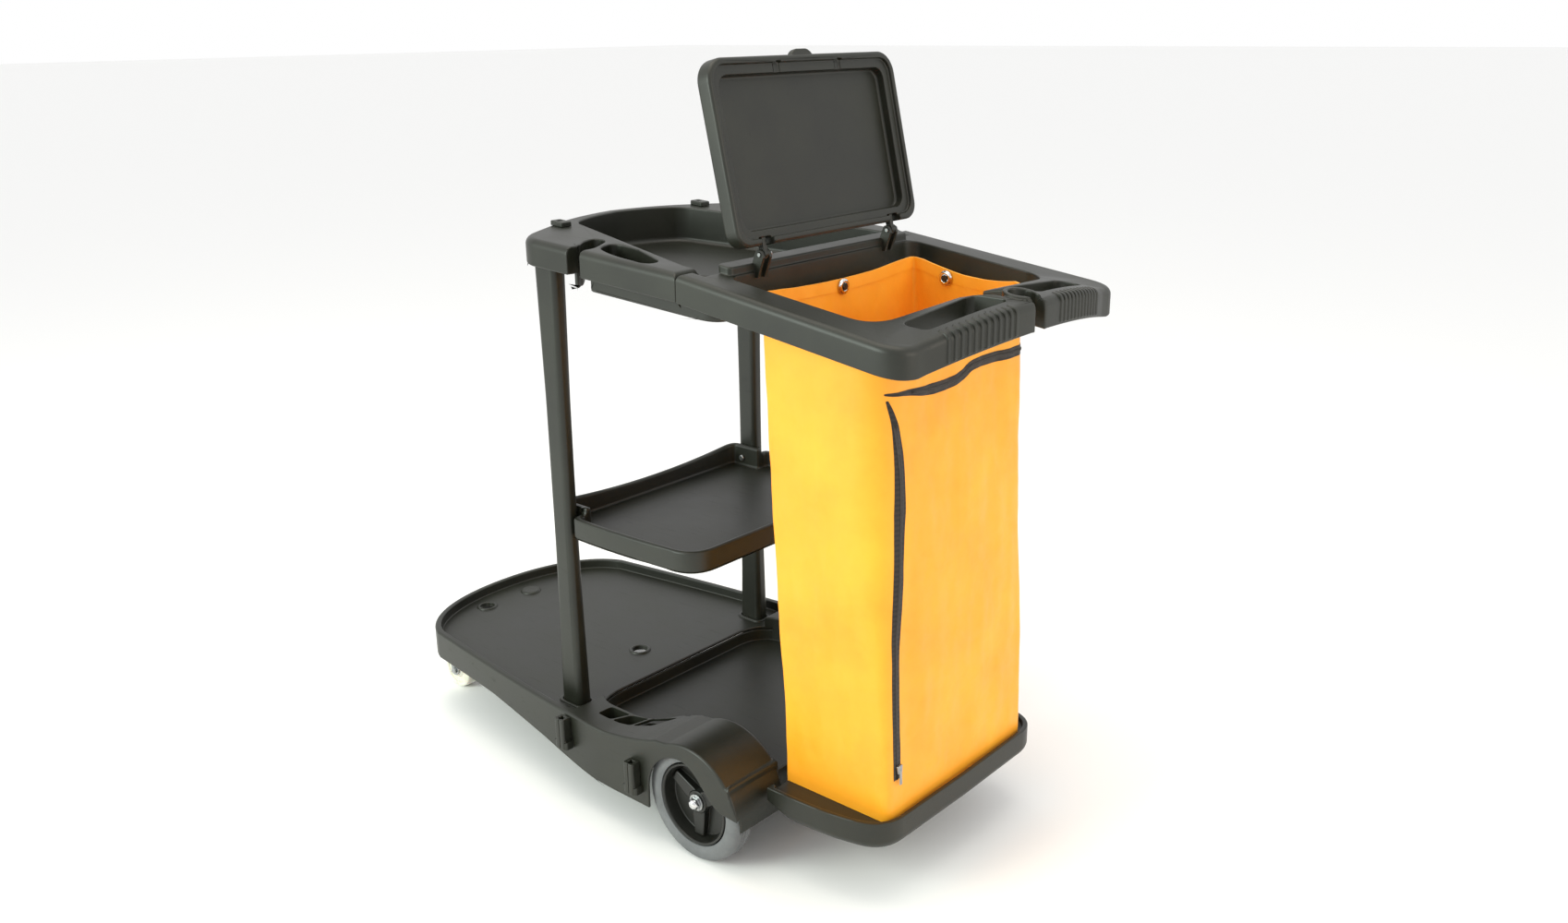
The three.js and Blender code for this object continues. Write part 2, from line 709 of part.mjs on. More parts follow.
// The lower pan, which runs on under the bag frame and carries it.
function panPlan(inset) {
  const half = new THREE.Path();
  half.moveTo(-100 + inset, 0);
  half.lineTo(-70 + inset, 110);
  half.lineTo(60 + inset, 150);
  half.lineTo(76 + inset, 248 - inset);
  half.lineTo(340, 250 - inset);
  half.quadraticCurveTo(380 - inset, 250 - inset, 380 - inset, 214);
  half.lineTo(380 - inset, 0);
  return bothSides(half, 4);
}

const toolNotch = (grow) =>
  roundedOutline(
    [
      [90 - grow, 300], [90 - grow, 246], [66 - grow, 212], [64 - grow, 186 - grow],
      [88 + grow, 186 - grow], [118 + grow, 240], [118 + grow, 300],
    ],
    9,
  );

const slotPocket = (grow) =>
  roundedOutline(
    [
      [108 - grow, 190 - grow], [160, 191 - grow], [250 + grow, 228], [250 + grow, 257 + grow],
      [176, 252 + grow], [118 - grow, 231 + grow],
    ],
    15,
  );

function topTray() {
  const rails = plate(trayOutline(0), -RAIL_DEPTH, 0, 7);
  const hollow = cut(
    plate(trayOutline(PLASTIC), -RAIL_DEPTH - 20, -PLASTIC),
    plate(binPlan(PLASTIC), -100, 20),
    withTwin(plate(toolNotch(PLASTIC), -100, 20)),
    withTwin(plate(slotPocket(4), -34, 20)),
    withTwin(plate(rectangle(-32, 32, POST_Y - 22, POST_Y + 22, 6), -100, 20)),
  );
  const panHollow = cut(
    plate(panPlan(PLASTIC), -100, -RAIL_DEPTH - PLASTIC),
    plate(binPlan(PLASTIC), -100, 20),
  );
  const pan = cut(plate(panPlan(0), -PAN_DEPTH, -RAIL_DEPTH - GAP + 1, 0), panHollow);
  const bin = plate(binPlan(PLASTIC), -PAN_DEPTH, -8);
  const rearLedge = block(SEAM_X - 1, 400, -260, 260, -RAIL_DEPTH - GAP, 10);
  let body = union(cut(rails, hollow), pan);
  body = cut(body, cut(rearLedge, plate(binPlan(PLASTIC), -100, 20)));
  body = union(body, bin);
  body = cut(
    body,
    plate(binPlan(0), -PAN_DEPTH + PLASTIC, 30),
    withTwin(plate(toolNotch(0), -100, 30)),
    withTwin(plate(slotPocket(0), -30, 30)),
    withTwin(plate(rectangle(-26.6, 26.6, POST_Y - 15.6, POST_Y + 15.6, 8), -100, -8)),
    withTwin(block(60, 130, 249, 300, -100, -RAIL_DEPTH - 0.01)),
    ...joiningScrewHoles(),
  );
  const frameSeat = setFrame(plate(framePlan(-0.5), -RAIL_DEPTH - GAP, 60));
  place("top_tray", cut(setTray(body), frameSeat), blackPlastic());
  for (const [side, sign] of SIDES) {
    const latch = cut(
      plate(rectangle(-64, -34, 150, 172, 4), GAP, 8, 1.5),
      plate(rectangle(-56, -48, 156, 166), 4, 20),
    );
    place(`post_latch_${side}`, onSide(setTray(latch), sign), blackPlastic());
  }
}

// Screws up through the pan's ledge into the bag frame.
const JOINING_SCREWS = [[361, 120], [361, -120]];
const joiningScrewHoles = () =>
  JOINING_SCREWS.map(([x, y]) => barZ(2.9, x, y, -PAN_DEPTH - 20, 0, 10));

// ---- Bag frame, drawn flat in the same way ----

// How far the handle bows to the rear at y.
const bow = (y) => HANDLE_BOW * Math.max(0, 1 - (y / HANDLE_HALF_SPAN) ** 2);

function framePlan(inset) {
  const side = RAIL_OUTER_Y + 5 - inset;
  const half = new THREE.Path();
  half.moveTo(346 + inset, 0);
  half.lineTo(346 + inset, 236 + inset);
  half.lineTo(SEAM_X + GAP + inset, 236 + inset);
  half.lineTo(SEAM_X + GAP + inset, side - 4);
  half.lineTo(FRAME_REAR - 46, side + 3);
  half.quadraticCurveTo(FRAME_REAR + 2 - inset, side + 3, FRAME_REAR + 2 - inset, HANDLE_HALF_SPAN);
  const points = half.getPoints(5);
  for (const share of [0.8, 0.6, 0.4, 0.2, 0]) {
    const y = share * HANDLE_HALF_SPAN;
    points.push(new THREE.Vector2(FRAME_REAR + bow(y) - inset, y));
  }
  const others = points.slice(1, -1).map((p) => new THREE.Vector2(p.x, -p.y)).reverse();
  return new THREE.Shape([...points, ...others]);
}

// The mouth that the bag hangs in.
const mouthPlan = (grow) =>
  roundedOutline(
    [
      [374 - grow, -219 - grow, 22], [636 + grow, -219 - grow, 46],
      [636 + grow, 219 + grow, 46], [374 - grow, 219 + grow, 22],
    ],
  );

// The bay between the two hand loops, in front of the tool cup.
const bayPlan = (grow) => rectangle(600, CUP_X - 10, -30 + grow, 30 - grow, 10);

function handHole(grow) {
  const inner = 38 - grow;
  const outer = 198 + grow;
  const rear = [1, 0.75, 0.5, 0.25, 0].map((share) => {
    const y = inner + (outer - inner) * share;
    return [FRAME_REAR - 28 + bow(y) + grow, y, share === 1 || share === 0 ? 12 : 1];
  });
  return roundedOutline([[659 - grow, inner, 12], [659 - grow, outer, 14], ...rear]);
}

// The handle rises in its middle, and the ends of the hand loops rise with it.
function arch(body) {
  const geometry = geometryOf(body);
  const position = geometry.attributes.position;
  for (let i = 0; i < position.count; i++) {
    const share = THREE.MathUtils.smoothstep(position.getX(i), 600, FRAME_REAR - 20);
    const lift = HANDLE_ARCH * Math.max(0, 1 - (position.getY(i) / HANDLE_HALF_SPAN) ** 2);
    position.setZ(i, position.getZ(i) + share * lift);
  }
  return solid(geometry);
}

// Moulded ribs round the back of one grip.
function gripRibs() {
  const ribs = [];
  for (let y = 58; y <= 190; y += 12) {
    ribs.push(
      block(FRAME_REAR + bow(y) - 20, FRAME_REAR + bow(y) + 2, y - 2.5, y + 2.5, -34, -5),
    );
  }
  return union(...ribs);
}

function bagFrame() {
  const cup = barZ(27, CUP_X, 0, -30, 4, 24);
  const walls = [plate(mouthPlan(PLASTIC), -100, 20), plate(bayPlan(-PLASTIC), -100, 20), cup];
  const hollow = cut(
    plate(framePlan(PLASTIC), -RAIL_DEPTH - 20, -PLASTIC),
    ...walls,
    withTwin(plate(handHole(4), -100, 20)),
    withTwin(barZ(9.5, JOINING_SCREWS[0][0], JOINING_SCREWS[0][1], -60, 0, 12)),
    plate(rectangle(700, 800, -18, 18), -100, 20),
  );
  const hingeRail = plate(rectangle(347, 373, -212, 212, 8), -6, HINGE_RAIL_HEIGHT, 3);
  let body = union(cut(plate(framePlan(0), -RAIL_DEPTH, 0, 8), hollow), hingeRail);
  body = cut(
    body,
    plate(mouthPlan(0), -100, 3),
    plate(bayPlan(0), -100, 60),
    withTwin(plate(handHole(0), -100, 60)),
  );
  body = union(body, cup, withTwin(gripRibs()));
  body = cut(
    body,
    barZ(18.5, CUP_X, 0, -60, 60, 24),
    block(CUP_X, 800, -12, 12, -60, 60),
    ...JOINING_SCREWS.map(([x, y]) => barZ(2.5, x, y, -60, -10, 10)),
  );
  body = setFrame(arch(body));
  const lugs = LID_LUGS.map((y) => frameLug(y));
  body = union(body, ...lugs);
  body = cut(body, barY(PIN_RADIUS + GAP, HINGE_X, HINGE_Z, -230, 230, 14), ...bagHookHoles());
  place("bag_frame", body, blackPlastic());
  JOINING_SCREWS.forEach(([x, y], i) => {
    const head = setTray(union(
      barZ(5.5, x, y, -PAN_DEPTH - 3 + 15.6, -PAN_DEPTH + 15.6 + 3, 12),
      barZ(2.3, x, y, -PAN_DEPTH + 16, -26, 10),
    ));
    place(`frame_screw_${SIDES[i][0]}`, head, zincSteel());
  });
}

// A pair of hinge ears on the hinge rail.
function frameLug(y) {
  const ear = new THREE.Shape();
  ear.moveTo(HINGE_X - 18, HINGE_Z - 22);
  ear.lineTo(HINGE_X - 8, HINGE_Z + 3);
  ear.absarc(HINGE_X, HINGE_Z, 8, 2.7, -0.6, true);
  ear.lineTo(HINGE_X - 4, HINGE_Z - 34);
  ear.lineTo(HINGE_X - 14, HINGE_Z - 34);
  ear.closePath();
  return union(slab(ear, y - 10, y - 5), slab(ear, y + 5, y + 10));
}

// ---- Lid, drawn closed with its hinge at x = 0 and z = 0, and then swung open ----

function lid() {
  const half = LID_WIDTH / 2;
  const t = LID_THICKNESS / 2;
  const shell = plate(
    roundedOutline(
      [[12, -half, 20], [LID_LENGTH, -half, 26], [LID_LENGTH, half, 26], [12, half, 20]],
    ),
    -t,
    t,
    4,
    5,
  );
  const step = plate(rectangle(22, LID_LENGTH - 10, -half + 10, half - 10, 20), -t - 5, -t + 6);
  const dish = plate(rectangle(34, LID_LENGTH - 24, -half + 24, half - 24, 16), -t - 5, t - 4);
  const tabFoot = LID_LENGTH - 6;
  const tabEnd = LID_LENGTH + 9;
  const tabOutline = roundedOutline([[tabFoot, -26], [tabEnd, -17], [tabEnd, 17], [tabFoot, 26]], 7);
  const tab = plate(tabOutline, -6, 2, 2);
  const knuckles = LID_LUGS.map((y) =>
    union(barY(7, 0, 0, y - 4.4, y + 4.4, 16), block(0, 30, y - 4.4, y + 4.4, -5, 5)),
  );
  let body = cut(union(cut(shell, step, dish), tab), ...LID_LUGS.map((y) => lugClearance(y)));
  body = cut(union(body, ...knuckles), barY(PIN_RADIUS + GAP, 0, 0, -230, 230, 14));
  const open = new THREE.Group();
  open.rotation.y = -THREE.MathUtils.degToRad(90 + LID_OPEN_LEAN);
  open.position.set(HINGE_X, 0, HINGE_Z);
  cart.add(open);
  place("lid", body, blackPlastic(), open);
  LID_LUGS.forEach((y, i) => {
    const pin = union(
      barY(PIN_RADIUS, HINGE_X, HINGE_Z, y - 11.5, y + 11.5, 14),
      barY(PIN_RADIUS + 2, HINGE_X, HINGE_Z, y + 10.5, y + 12.5, 14),
    );
    place(`lid_hinge_pin_${SIDES[i][0]}`, pin, zincSteel());
  });
}

const lugClearance = (y) => block(-20, 24, y - 12, y + 14, -30, 30);

// ---- Bag ----

// A section of the bag: [front x, rear x] at one height, with a corner fold.
function bagSection([front, rear], inset, z) {
  const side = BAG_HALF_WIDTH - inset;
  const outline = roundedOutline([
    [front + inset, -side, 8], [rear - inset, -side, 24], [rear - inset, side, 24], [front + inset, side, 8],
  ]).getPoints(3).slice(0, -1);
  const fall = z > BAG_FLOOR_Z + 50 ? BAG_RIM_FALL : 0;
  return outline.map((p) => [p.x, p.y, z - fall * (p.x - front)]);
}

const bagFaceX = (i, z) =>
  BAG_BOTTOM[i] + ((BAG_MOUTH[i] - BAG_BOTTOM[i]) * (z - BAG_FLOOR_Z)) / (BAG_RIM_Z - BAG_FLOOR_Z);

function bag() {
  const beyond = BAG_RIM_Z + 40;
  const outside = loft([bagSection(BAG_BOTTOM, 0, BAG_FLOOR_Z), bagSection(BAG_MOUTH, 0, BAG_RIM_Z)]);
  const inside = loft([
    bagSection(BAG_BOTTOM, BAG_WALL, BAG_FLOOR_Z + BAG_WALL),
    bagSection([bagFaceX(0, beyond), bagFaceX(1, beyond)], BAG_WALL, beyond),
  ]);
  place("bag", cut(outside, inside, ...bagHookHoles()), vinyl());
}

// Where the bag hangs: an eyelet in a wall of the bag, with a hook from the frame through it.
// across is the other place in plan, reach how far the hook runs out of the bag.
const EYELETS = {
  front: { wall: "front", across: 0, reach: 22.6 },
  rear_left: { wall: "rear", across: 110, reach: 22 },
  rear_right: { wall: "rear", across: -110, reach: 22 },
  left: { wall: "left", across: 470, reach: 40 },
  right: { wall: "right", across: 470, reach: 40 },
};

// A round bar along an eyelet's axis, from one distance outside the bag's wall to another.
function alongEyelet({ wall, across }, radius, from, to, sides) {
  const bar = new THREE.CylinderGeometry(radius, radius, to - from, sides);
  const middle = (from + to) / 2;
  if (wall === "left" || wall === "right") {
    const z = BAG_RIM_Z - BAG_RIM_FALL * (across - BAG_MOUTH[0]) - EYELET_DROP;
    return solid(bar.translate(across, (wall === "left" ? 1 : -1) * (BAG_HALF_WIDTH + middle), z));
  }
  const rear = wall === "rear";
  const z = BAG_RIM_Z - (rear ? BAG_RIM_FALL * (BAG_MOUTH[1] - BAG_MOUTH[0]) : 0) - EYELET_DROP;
  const face = bagFaceX(rear ? 1 : 0, z);
  bar.rotateZ(Math.PI / 2);
  return solid(bar.translate(face + (rear ? middle : -middle), across, z));
}

const bagHookHoles = () =>
  Object.values(EYELETS).map((eyelet) => alongEyelet(eyelet, 7, -6, eyelet.reach, 12));

function eyelets() {
  for (const [name, eyelet] of Object.entries(EYELETS)) {
    const outside = alongEyelet(eyelet, 12, -BAG_WALL - 3, -BAG_WALL - 1.4, 16);
    place(`eyelet_${name}`, cut(outside, alongEyelet(eyelet, 7, -10, 10, 12)), chrome());
    const hook = union(
      alongEyelet(eyelet, 3.2, -7, eyelet.reach - GAP, 8),
      alongEyelet(eyelet, 5.6, -9, -6, 8),
    );
    place(`bag_hook_${name}`, hook, blackPlastic());
  }
}

// ---- Zip on the bag's rear face: down one side and across the top ----

// Puts a shape drawn in (y, height) on the bag's rear face, standing off it.
function onRearFace(shape, standOff, thickness) {
  const lean = (BAG_BOTTOM[1] - BAG_MOUTH[1]) / (BAG_RIM_Z - BAG_FLOOR_Z);
  const toFace = new THREE.Matrix4().set(
    0, -lean, 1, BAG_BOTTOM[1] + lean * BAG_FLOOR_Z + standOff,
    1, 0, 0, 0,
    0, 1, 0, 0,
    0, 0, 0, 1,
  );
  return solid(extruded(shape, thickness, 6).applyMatrix4(toFace));
}

function zip() {
  const half = ZIP_TAPE_WIDTH / 2;
  const top = ZIP_TOP_Z;
  const farEnd = half - ZIP_Y;
  const tape = new THREE.Shape([
    [ZIP_Y - half, ZIP_BOTTOM_Z], [ZIP_Y + half, ZIP_BOTTOM_Z], [ZIP_Y + half, top - 6],
    [-40, top - 10], [20, top + 2], [farEnd, top + 2],
    [farEnd, top + 18], [14, top + 18], [-46, top + 6],
    [ZIP_Y - half, top + 6],
  ].map(([y, z]) => new THREE.Vector2(y, z)));
  place("zip_tape", onRearFace(tape, GAP, 1.4), zipTape());

  const upright = (low, high, lowHalf, highHalf, radius) =>
    roundedOutline(
      [
        [ZIP_Y - lowHalf, ZIP_BOTTOM_Z + low], [ZIP_Y + lowHalf, ZIP_BOTTOM_Z + low],
        [ZIP_Y + highHalf, ZIP_BOTTOM_Z + high], [ZIP_Y - highHalf, ZIP_BOTTOM_Z + high],
      ],
      radius,
    );
  const slider = onRearFace(upright(4, 17, 5, 6, 2), 2.3, 3);
  const pull = onRearFace(upright(-14, 10, 3, 2.5, 1), 4.8, 1.6);
  place("zip_slider", union(slider, pull), zincSteel());
}

// ---- Bag platform ----

function platformPlan(inset) {
  const half = new THREE.Path();
  half.moveTo(PLATFORM_FRONT + inset, 0);
  half.lineTo(PLATFORM_FRONT + inset, 234 - inset);
  half.quadraticCurveTo(550, 236 - inset, 600, 223 - inset);
  half.quadraticCurveTo(PLATFORM_REAR - 4 - inset, 214 - inset, PLATFORM_REAR - 2 - inset, 165);
  half.lineTo(PLATFORM_REAR - inset, 0);
  return bothSides(half, 5);
}

const PLATFORM_SCREWS = [[384, 100], [384, -100]];
const platformScrewHoles = () => PLATFORM_SCREWS.map(([x, y]) => barZ(2.9, x, y, 100, 140, 10));

function bagPlatform() {
  const arm = block(358, ARM_END - 10, 84, 116, TRAY_UNDERSIDE - GAP - 8, TRAY_UNDERSIDE - GAP);
  const underFront = new THREE.Shape(
    [[430, 90], [430, 128], [468, 121], [496, 108], [506, 90]].map(([x, z]) => new THREE.Vector2(x, z)),
  );
  const tray = cut(
    plate(platformPlan(0), PLATFORM_UNDERSIDE, PLATFORM_RIM, 4),
    slab(underFront, -260, 260),
  );
  const body = cut(
    union(tray, withTwin(arm)),
    plate(platformPlan(8), PLATFORM_RIM - 10, 200),
    block(PLATFORM_FRONT - 10, 480, -220, 220, PLATFORM_RIM - 10, 200),
    cut(
      plate(platformPlan(PLASTIC), 0, PLATFORM_RIM - 15),
      withTwin(block(358, ARM_END, 80, 120, 90, 140)),
    ),
    ...PLATFORM_SCREWS.map(([x, y]) => barZ(2.5, x, y, 90, 140, 10)),
  );
  place("bag_platform", body, blackPlastic());
  PLATFORM_SCREWS.forEach(([x, y], i) => {
    const screw = union(
      barZ(5.5, x, y, TRAY_FLOOR + GAP, TRAY_FLOOR + 3.4, 12),
      barZ(2.2, x, y, TRAY_UNDERSIDE - GAP - 8, TRAY_FLOOR + 1, 10),
    );
    place(`platform_screw_${SIDES[i][0]}`, screw, zincSteel());
  });
}

// ---- Tool holders clipped to the skirt ----

function toolHolder(name, x, y, z, sign) {
  const outline = roundedOutline([[x - 15, y], [x + 15, y], [x + 15, y + 19, 4], [x - 15, y + 19, 4]], 0);
  const holder = cut(
    plate(outline, z, z + 56, 0, 3),
    barZ(6.5, x, y + 10, z - 5, z + 70, 8),
  );
  place(name, onSide(holder, sign), blackPlastic());
}

// ---- The cart ----

basePlatform();
deckPlug();
rearAxle();
middleShelf();
topTray();
bagFrame();
lid();
bag();
eyelets();
zip();
bagPlatform();
for (const [side, sign] of SIDES) {
  post(side, sign);
  rearWheel(side, sign);
  caster(side, sign);
  toolHolder(`tool_holder_front_${side}`, 46, 294, 104, sign);
  toolHolder(`tool_holder_rear_${side}`, 218, HALF_WIDTH + GAP, 86, sign);
}

export default root;
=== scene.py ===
import math

import bmesh
import bpy
from mathutils import Matrix, Vector, noise
from mathutils.geometry import interpolate_bezier


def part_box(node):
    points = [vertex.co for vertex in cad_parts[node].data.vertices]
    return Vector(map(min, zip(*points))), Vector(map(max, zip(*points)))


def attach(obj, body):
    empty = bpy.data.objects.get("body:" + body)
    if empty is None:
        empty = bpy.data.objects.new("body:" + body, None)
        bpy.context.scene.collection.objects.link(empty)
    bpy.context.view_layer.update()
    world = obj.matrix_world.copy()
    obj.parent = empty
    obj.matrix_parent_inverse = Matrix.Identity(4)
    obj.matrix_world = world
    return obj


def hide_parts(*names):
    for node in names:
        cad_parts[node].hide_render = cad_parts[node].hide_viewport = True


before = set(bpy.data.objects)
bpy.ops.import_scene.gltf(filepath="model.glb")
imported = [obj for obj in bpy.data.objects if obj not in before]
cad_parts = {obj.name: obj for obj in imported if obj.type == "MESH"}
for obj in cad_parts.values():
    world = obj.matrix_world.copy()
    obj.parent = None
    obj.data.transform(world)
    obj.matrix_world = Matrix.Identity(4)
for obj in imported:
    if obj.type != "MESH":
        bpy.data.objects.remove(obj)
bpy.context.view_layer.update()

MM = 0.001

# Pieces are drawn in millimetres, lengthwise from the posts, and then put in the frame.
post_low, post_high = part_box("post_right")
POST_X = (post_low.x + post_high.x) / 2
TO_FRAME = Matrix.Translation((POST_X, 0, 0)) @ Matrix.Scale(MM, 4)


def place(node):
    """A node's lowest and highest corners, in millimetres from the posts."""
    low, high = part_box(node)
    back = TO_FRAME.inverted()
    return back @ low, back @ high


# ---- Outlines ----


def curve(first, controls, steps):
    """Points after the first one along a curve with one or two control points and an end."""
    last = controls[-1]
    if len(controls) == 2:
        handles = first.lerp(controls[0], 2 / 3), last.lerp(controls[0], 2 / 3)
    else:
        handles = controls[:2]
    return interpolate_bezier(first, *handles, last, steps + 1)[1:]


def outline(start, *steps, fine=12):
    """Half an outline from the middle plane. A step is a point, or a curve's controls and its end."""
    points = [Vector((*start, 0))]
    for step in steps:
        if isinstance(step[0], tuple):
            points += curve(points[-1], [Vector((*point, 0)) for point in step], fine)
        else:
            points.append(Vector((*step, 0)))
    return points


def whole(half):
    """A closed outline from its half at positive Y."""
    return half + [Vector((p.x, -p.y, 0)) for p in reversed(half) if abs(p.y) > 1e-6]


def rounded(*corners, fine=7):
    """A closed outline through corners (x, y) or (x, y, radius)."""
    spots = [Vector((corner[0], corner[1], 0)) for corner in corners]
    points = []
    for i, corner in enumerate(corners):
        here, before, after = spots[i], spots[i - 1], spots[(i + 1) % len(spots)]
        radius = corner[2] if len(corner) > 2 else 0
        if not radius:
            points.append(here)
            continue
        reach = min(radius, 0.48 * (here - before).length, 0.48 * (here - after).length)
        start = here + (before - here).normalized() * reach
        end = here + (after - here).normalized() * reach
        points += interpolate_bezier(start, start.lerp(here, 0.56), end.lerp(here, 0.56), end, fine + 1)
    return points


def rectangle(x0, x1, y0, y1, radius=0.0, fine=7):
    return rounded((x0, y0, radius), (x1, y0, radius), (x1, y1, radius), (x0, y1, radius), fine=fine)


# ---- Solids ----


def prism(points, low, high, edge=0.0, rims="top bottom", steps=4):
    """An outline in plan carried from low to high, its rims rounded by an edge radius."""
    bm = bmesh.new()
    face = bm.faces.new([bm.verts.new((p.x, p.y, low)) for p in points])
    made = bmesh.ops.extrude_face_region(bm, geom=[face])
    raised = [item for item in made["geom"] if isinstance(item, bmesh.types.BMVert)]
    bmesh.ops.translate(bm, verts=raised, vec=(0, 0, high - low))
    bmesh.ops.recalc_face_normals(bm, faces=bm.faces[:])
    if edge:
        levels = [z for z, rim in ((low, "bottom"), (high, "top")) if rim in rims]
        around = [e for e in bm.edges
                  if any(all(abs(v.co.z - z) < 1e-4 for v in e.verts) for z in levels)]
        bmesh.ops.bevel(bm, geom=around, offset=edge, segments=steps, profile=0.5,
                        affect="EDGES", material=-1)
    return bm


def side_prism(points, y0, y1, edge=0.0, steps=4):
    """An outline in side view, with heights as its second number, carried from y0 to y1."""
    bm = prism(points, -y1, -y0, edge, steps=steps)
    bmesh.ops.transform(bm, verts=bm.verts[:], matrix=Matrix.Rotation(math.pi / 2, 4, "X"))
    return bm


def block(x0, x1, y0, y1, z0, z1):
    return prism(rectangle(x0, x1, y0, y1), z0, z1)


TURN = {"X": Matrix.Rotation(math.pi / 2, 4, "Y"), "Y": Matrix.Rotation(math.pi / 2, 4, "X"),
        "Z": Matrix.Identity(4)}


def bar(axis, radius, centre, length, sides=48, far_radius=None):
    """A round bar, or a cone, along an axis, about its middle."""
    bm = bmesh.new()
    bmesh.ops.create_cone(bm, cap_ends=True, segments=sides, radius1=radius,
                          radius2=radius if far_radius is None else far_radius, depth=length,
                          matrix=Matrix.Translation(centre) @ TURN[axis])
    return bm


def turned(axis, profile, centre, sides=96):
    """A piece turned about an axis through centre, from a closed profile of (radius, along)."""
    bm = bmesh.new()
    ring = [bm.verts.new((radius, 0, along)) for radius, along in profile]
    for i, vert in enumerate(ring):
        bm.edges.new((vert, ring[(i + 1) % len(ring)]))
    bmesh.ops.spin(bm, geom=bm.verts[:] + bm.edges[:], cent=(0, 0, 0), axis=(0, 0, 1),
                   angle=2 * math.pi, steps=sides, use_merge=True)
    bmesh.ops.remove_doubles(bm, verts=bm.verts[:], dist=1e-4)
    turn = TURN[axis] if axis != "Y" else Matrix.Rotation(-math.pi / 2, 4, "X")
    bmesh.ops.transform(bm, verts=bm.verts[:], matrix=Matrix.Translation(centre) @ turn)
    bmesh.ops.recalc_face_normals(bm, faces=bm.faces[:])
    return bm


def mirrored(bm):
    bmesh.ops.scale(bm, vec=(1, -1, 1), verts=bm.verts[:])
    bmesh.ops.reverse_faces(bm, faces=bm.faces[:])
    return bm


def on_side(bm, side):
    """The drawn piece is the left one, at positive Y."""
    return bm if side == "left" else mirrored(bm)


def pair(bm):
    """The piece and its twin on the other side."""
    copy = bmesh.ops.duplicate(bm, geom=bm.verts[:] + bm.edges[:] + bm.faces[:])["geom"]
    bmesh.ops.scale(bm, vec=(1, -1, 1), verts=[g for g in copy if isinstance(g, bmesh.types.BMVert)])
    bmesh.ops.reverse_faces(bm, faces=[g for g in copy if isinstance(g, bmesh.types.BMFace)])
    return bm


def leaning(bm, slope, x0, z0):
    """The top slopes down to the rear: each point drops with its distance from x0."""
    shear = Matrix(((1, 0, 0, 0), (0, 1, 0, 0), (-slope, 0, 1, z0 + slope * x0), (0, 0, 0, 1)))
    bmesh.ops.transform(bm, verts=bm.verts[:], matrix=shear)
    return bm


def as_object(bm):
    mesh = bpy.data.meshes.new("part")
    bm.to_mesh(mesh)
    bm.free()
    piece = bpy.data.objects.new("part", mesh)
    bpy.context.scene.collection.objects.link(piece)
    return piece


def apply_modifiers(piece):
    depsgraph = bpy.context.evaluated_depsgraph_get()
    mesh = bpy.data.meshes.new_from_object(piece.evaluated_get(depsgraph))
    piece.modifiers.clear()
    piece.data = mesh


def combine(operation, body, tools):
    tools = [as_object(tool) if isinstance(tool, bmesh.types.BMesh) else tool for tool in tools]
    for tool in tools:
        modifier = body.modifiers.new("combine", "BOOLEAN")
        modifier.operation = operation
        modifier.solver = "MANIFOLD"
        modifier.object = tool
    apply_modifiers(body)
    for tool in tools:
        bpy.data.objects.remove(tool)
    return body


def join(body, *tools):
    body = as_object(body) if isinstance(body, bmesh.types.BMesh) else body
    return combine("UNION", body, tools)


def cut(body, *tools):
    body = as_object(body) if isinstance(body, bmesh.types.BMesh) else body
    return combine("DIFFERENCE", body, tools)


def reshape(piece, move):
    """Moves each vertex of a piece by a rule."""
    for vert in piece.data.vertices:
        vert.co = move(vert.co)
    return piece


# ---- Finishing a piece ----


def redrawn(piece, change):
    """Runs a change to a bmesh on a drawn object."""
    bm = bmesh.new()
    bm.from_mesh(piece.data)
    change(bm)
    bm.to_mesh(piece.data)
    bm.free()
    return piece


def tidy(bm):
    """Merges what the cuts left in one plane."""
    bmesh.ops.remove_doubles(bm, verts=bm.verts[:], dist=0.02)
    bmesh.ops.dissolve_limit(bm, angle_limit=math.radians(0.5), verts=bm.verts[:], edges=bm.edges[:])
    bmesh.ops.triangulate(bm, faces=[f for f in bm.faces if len(f.verts) > 4])


def soften(piece, width, steps=2, angle=32):
    """Rounds the sharp edges by a width in the object's units."""
    edge = piece.modifiers.new("rounded edges", "BEVEL")
    edge.width = width
    edge.segments = steps
    edge.limit_method = "ANGLE"
    edge.angle_limit = math.radians(angle)
    edge.use_clamp_overlap = False
    edge.miter_outer = "MITER_ARC"


def even_shading(piece):
    """Flat faces stay flat in the shading, and the rounded edges between them take the turn."""
    even = piece.modifiers.new("even shading", "WEIGHTED_NORMAL")
    even.keep_sharp = True
    even.weight = 80


def rounded_off(piece, width):
    """Rounds the edges drawn so far. Finer features are cut or added after it."""
    redrawn(piece, tidy)
    soften(piece, width)
    apply_modifiers(piece)
    return piece


def finish(piece, name, body, material, stands_for=(), edge=0.0, sharp=45, clean=True):
    """Puts a drawn piece in the frame, under its name, on its body and in its material."""
    piece = as_object(piece) if isinstance(piece, bmesh.types.BMesh) else piece
    if clean:
        redrawn(piece, tidy)
    if edge:
        soften(piece, edge)
        apply_modifiers(piece)
    mesh = piece.data
    if "custom_normal" in mesh.attributes:
        mesh.attributes.remove(mesh.attributes["custom_normal"])
    for polygon in mesh.polygons:
        polygon.use_smooth = True
    mesh.transform(TO_FRAME)
    mesh.set_sharp_from_angle(angle=math.radians(sharp))
    even_shading(piece)
    piece.name = name
    mesh.name = name
    mesh.materials.clear()
    mesh.materials.append(material)
    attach(piece, body)
    if stands_for:
        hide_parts(*stands_for)
    return piece


# ---- Materials ----


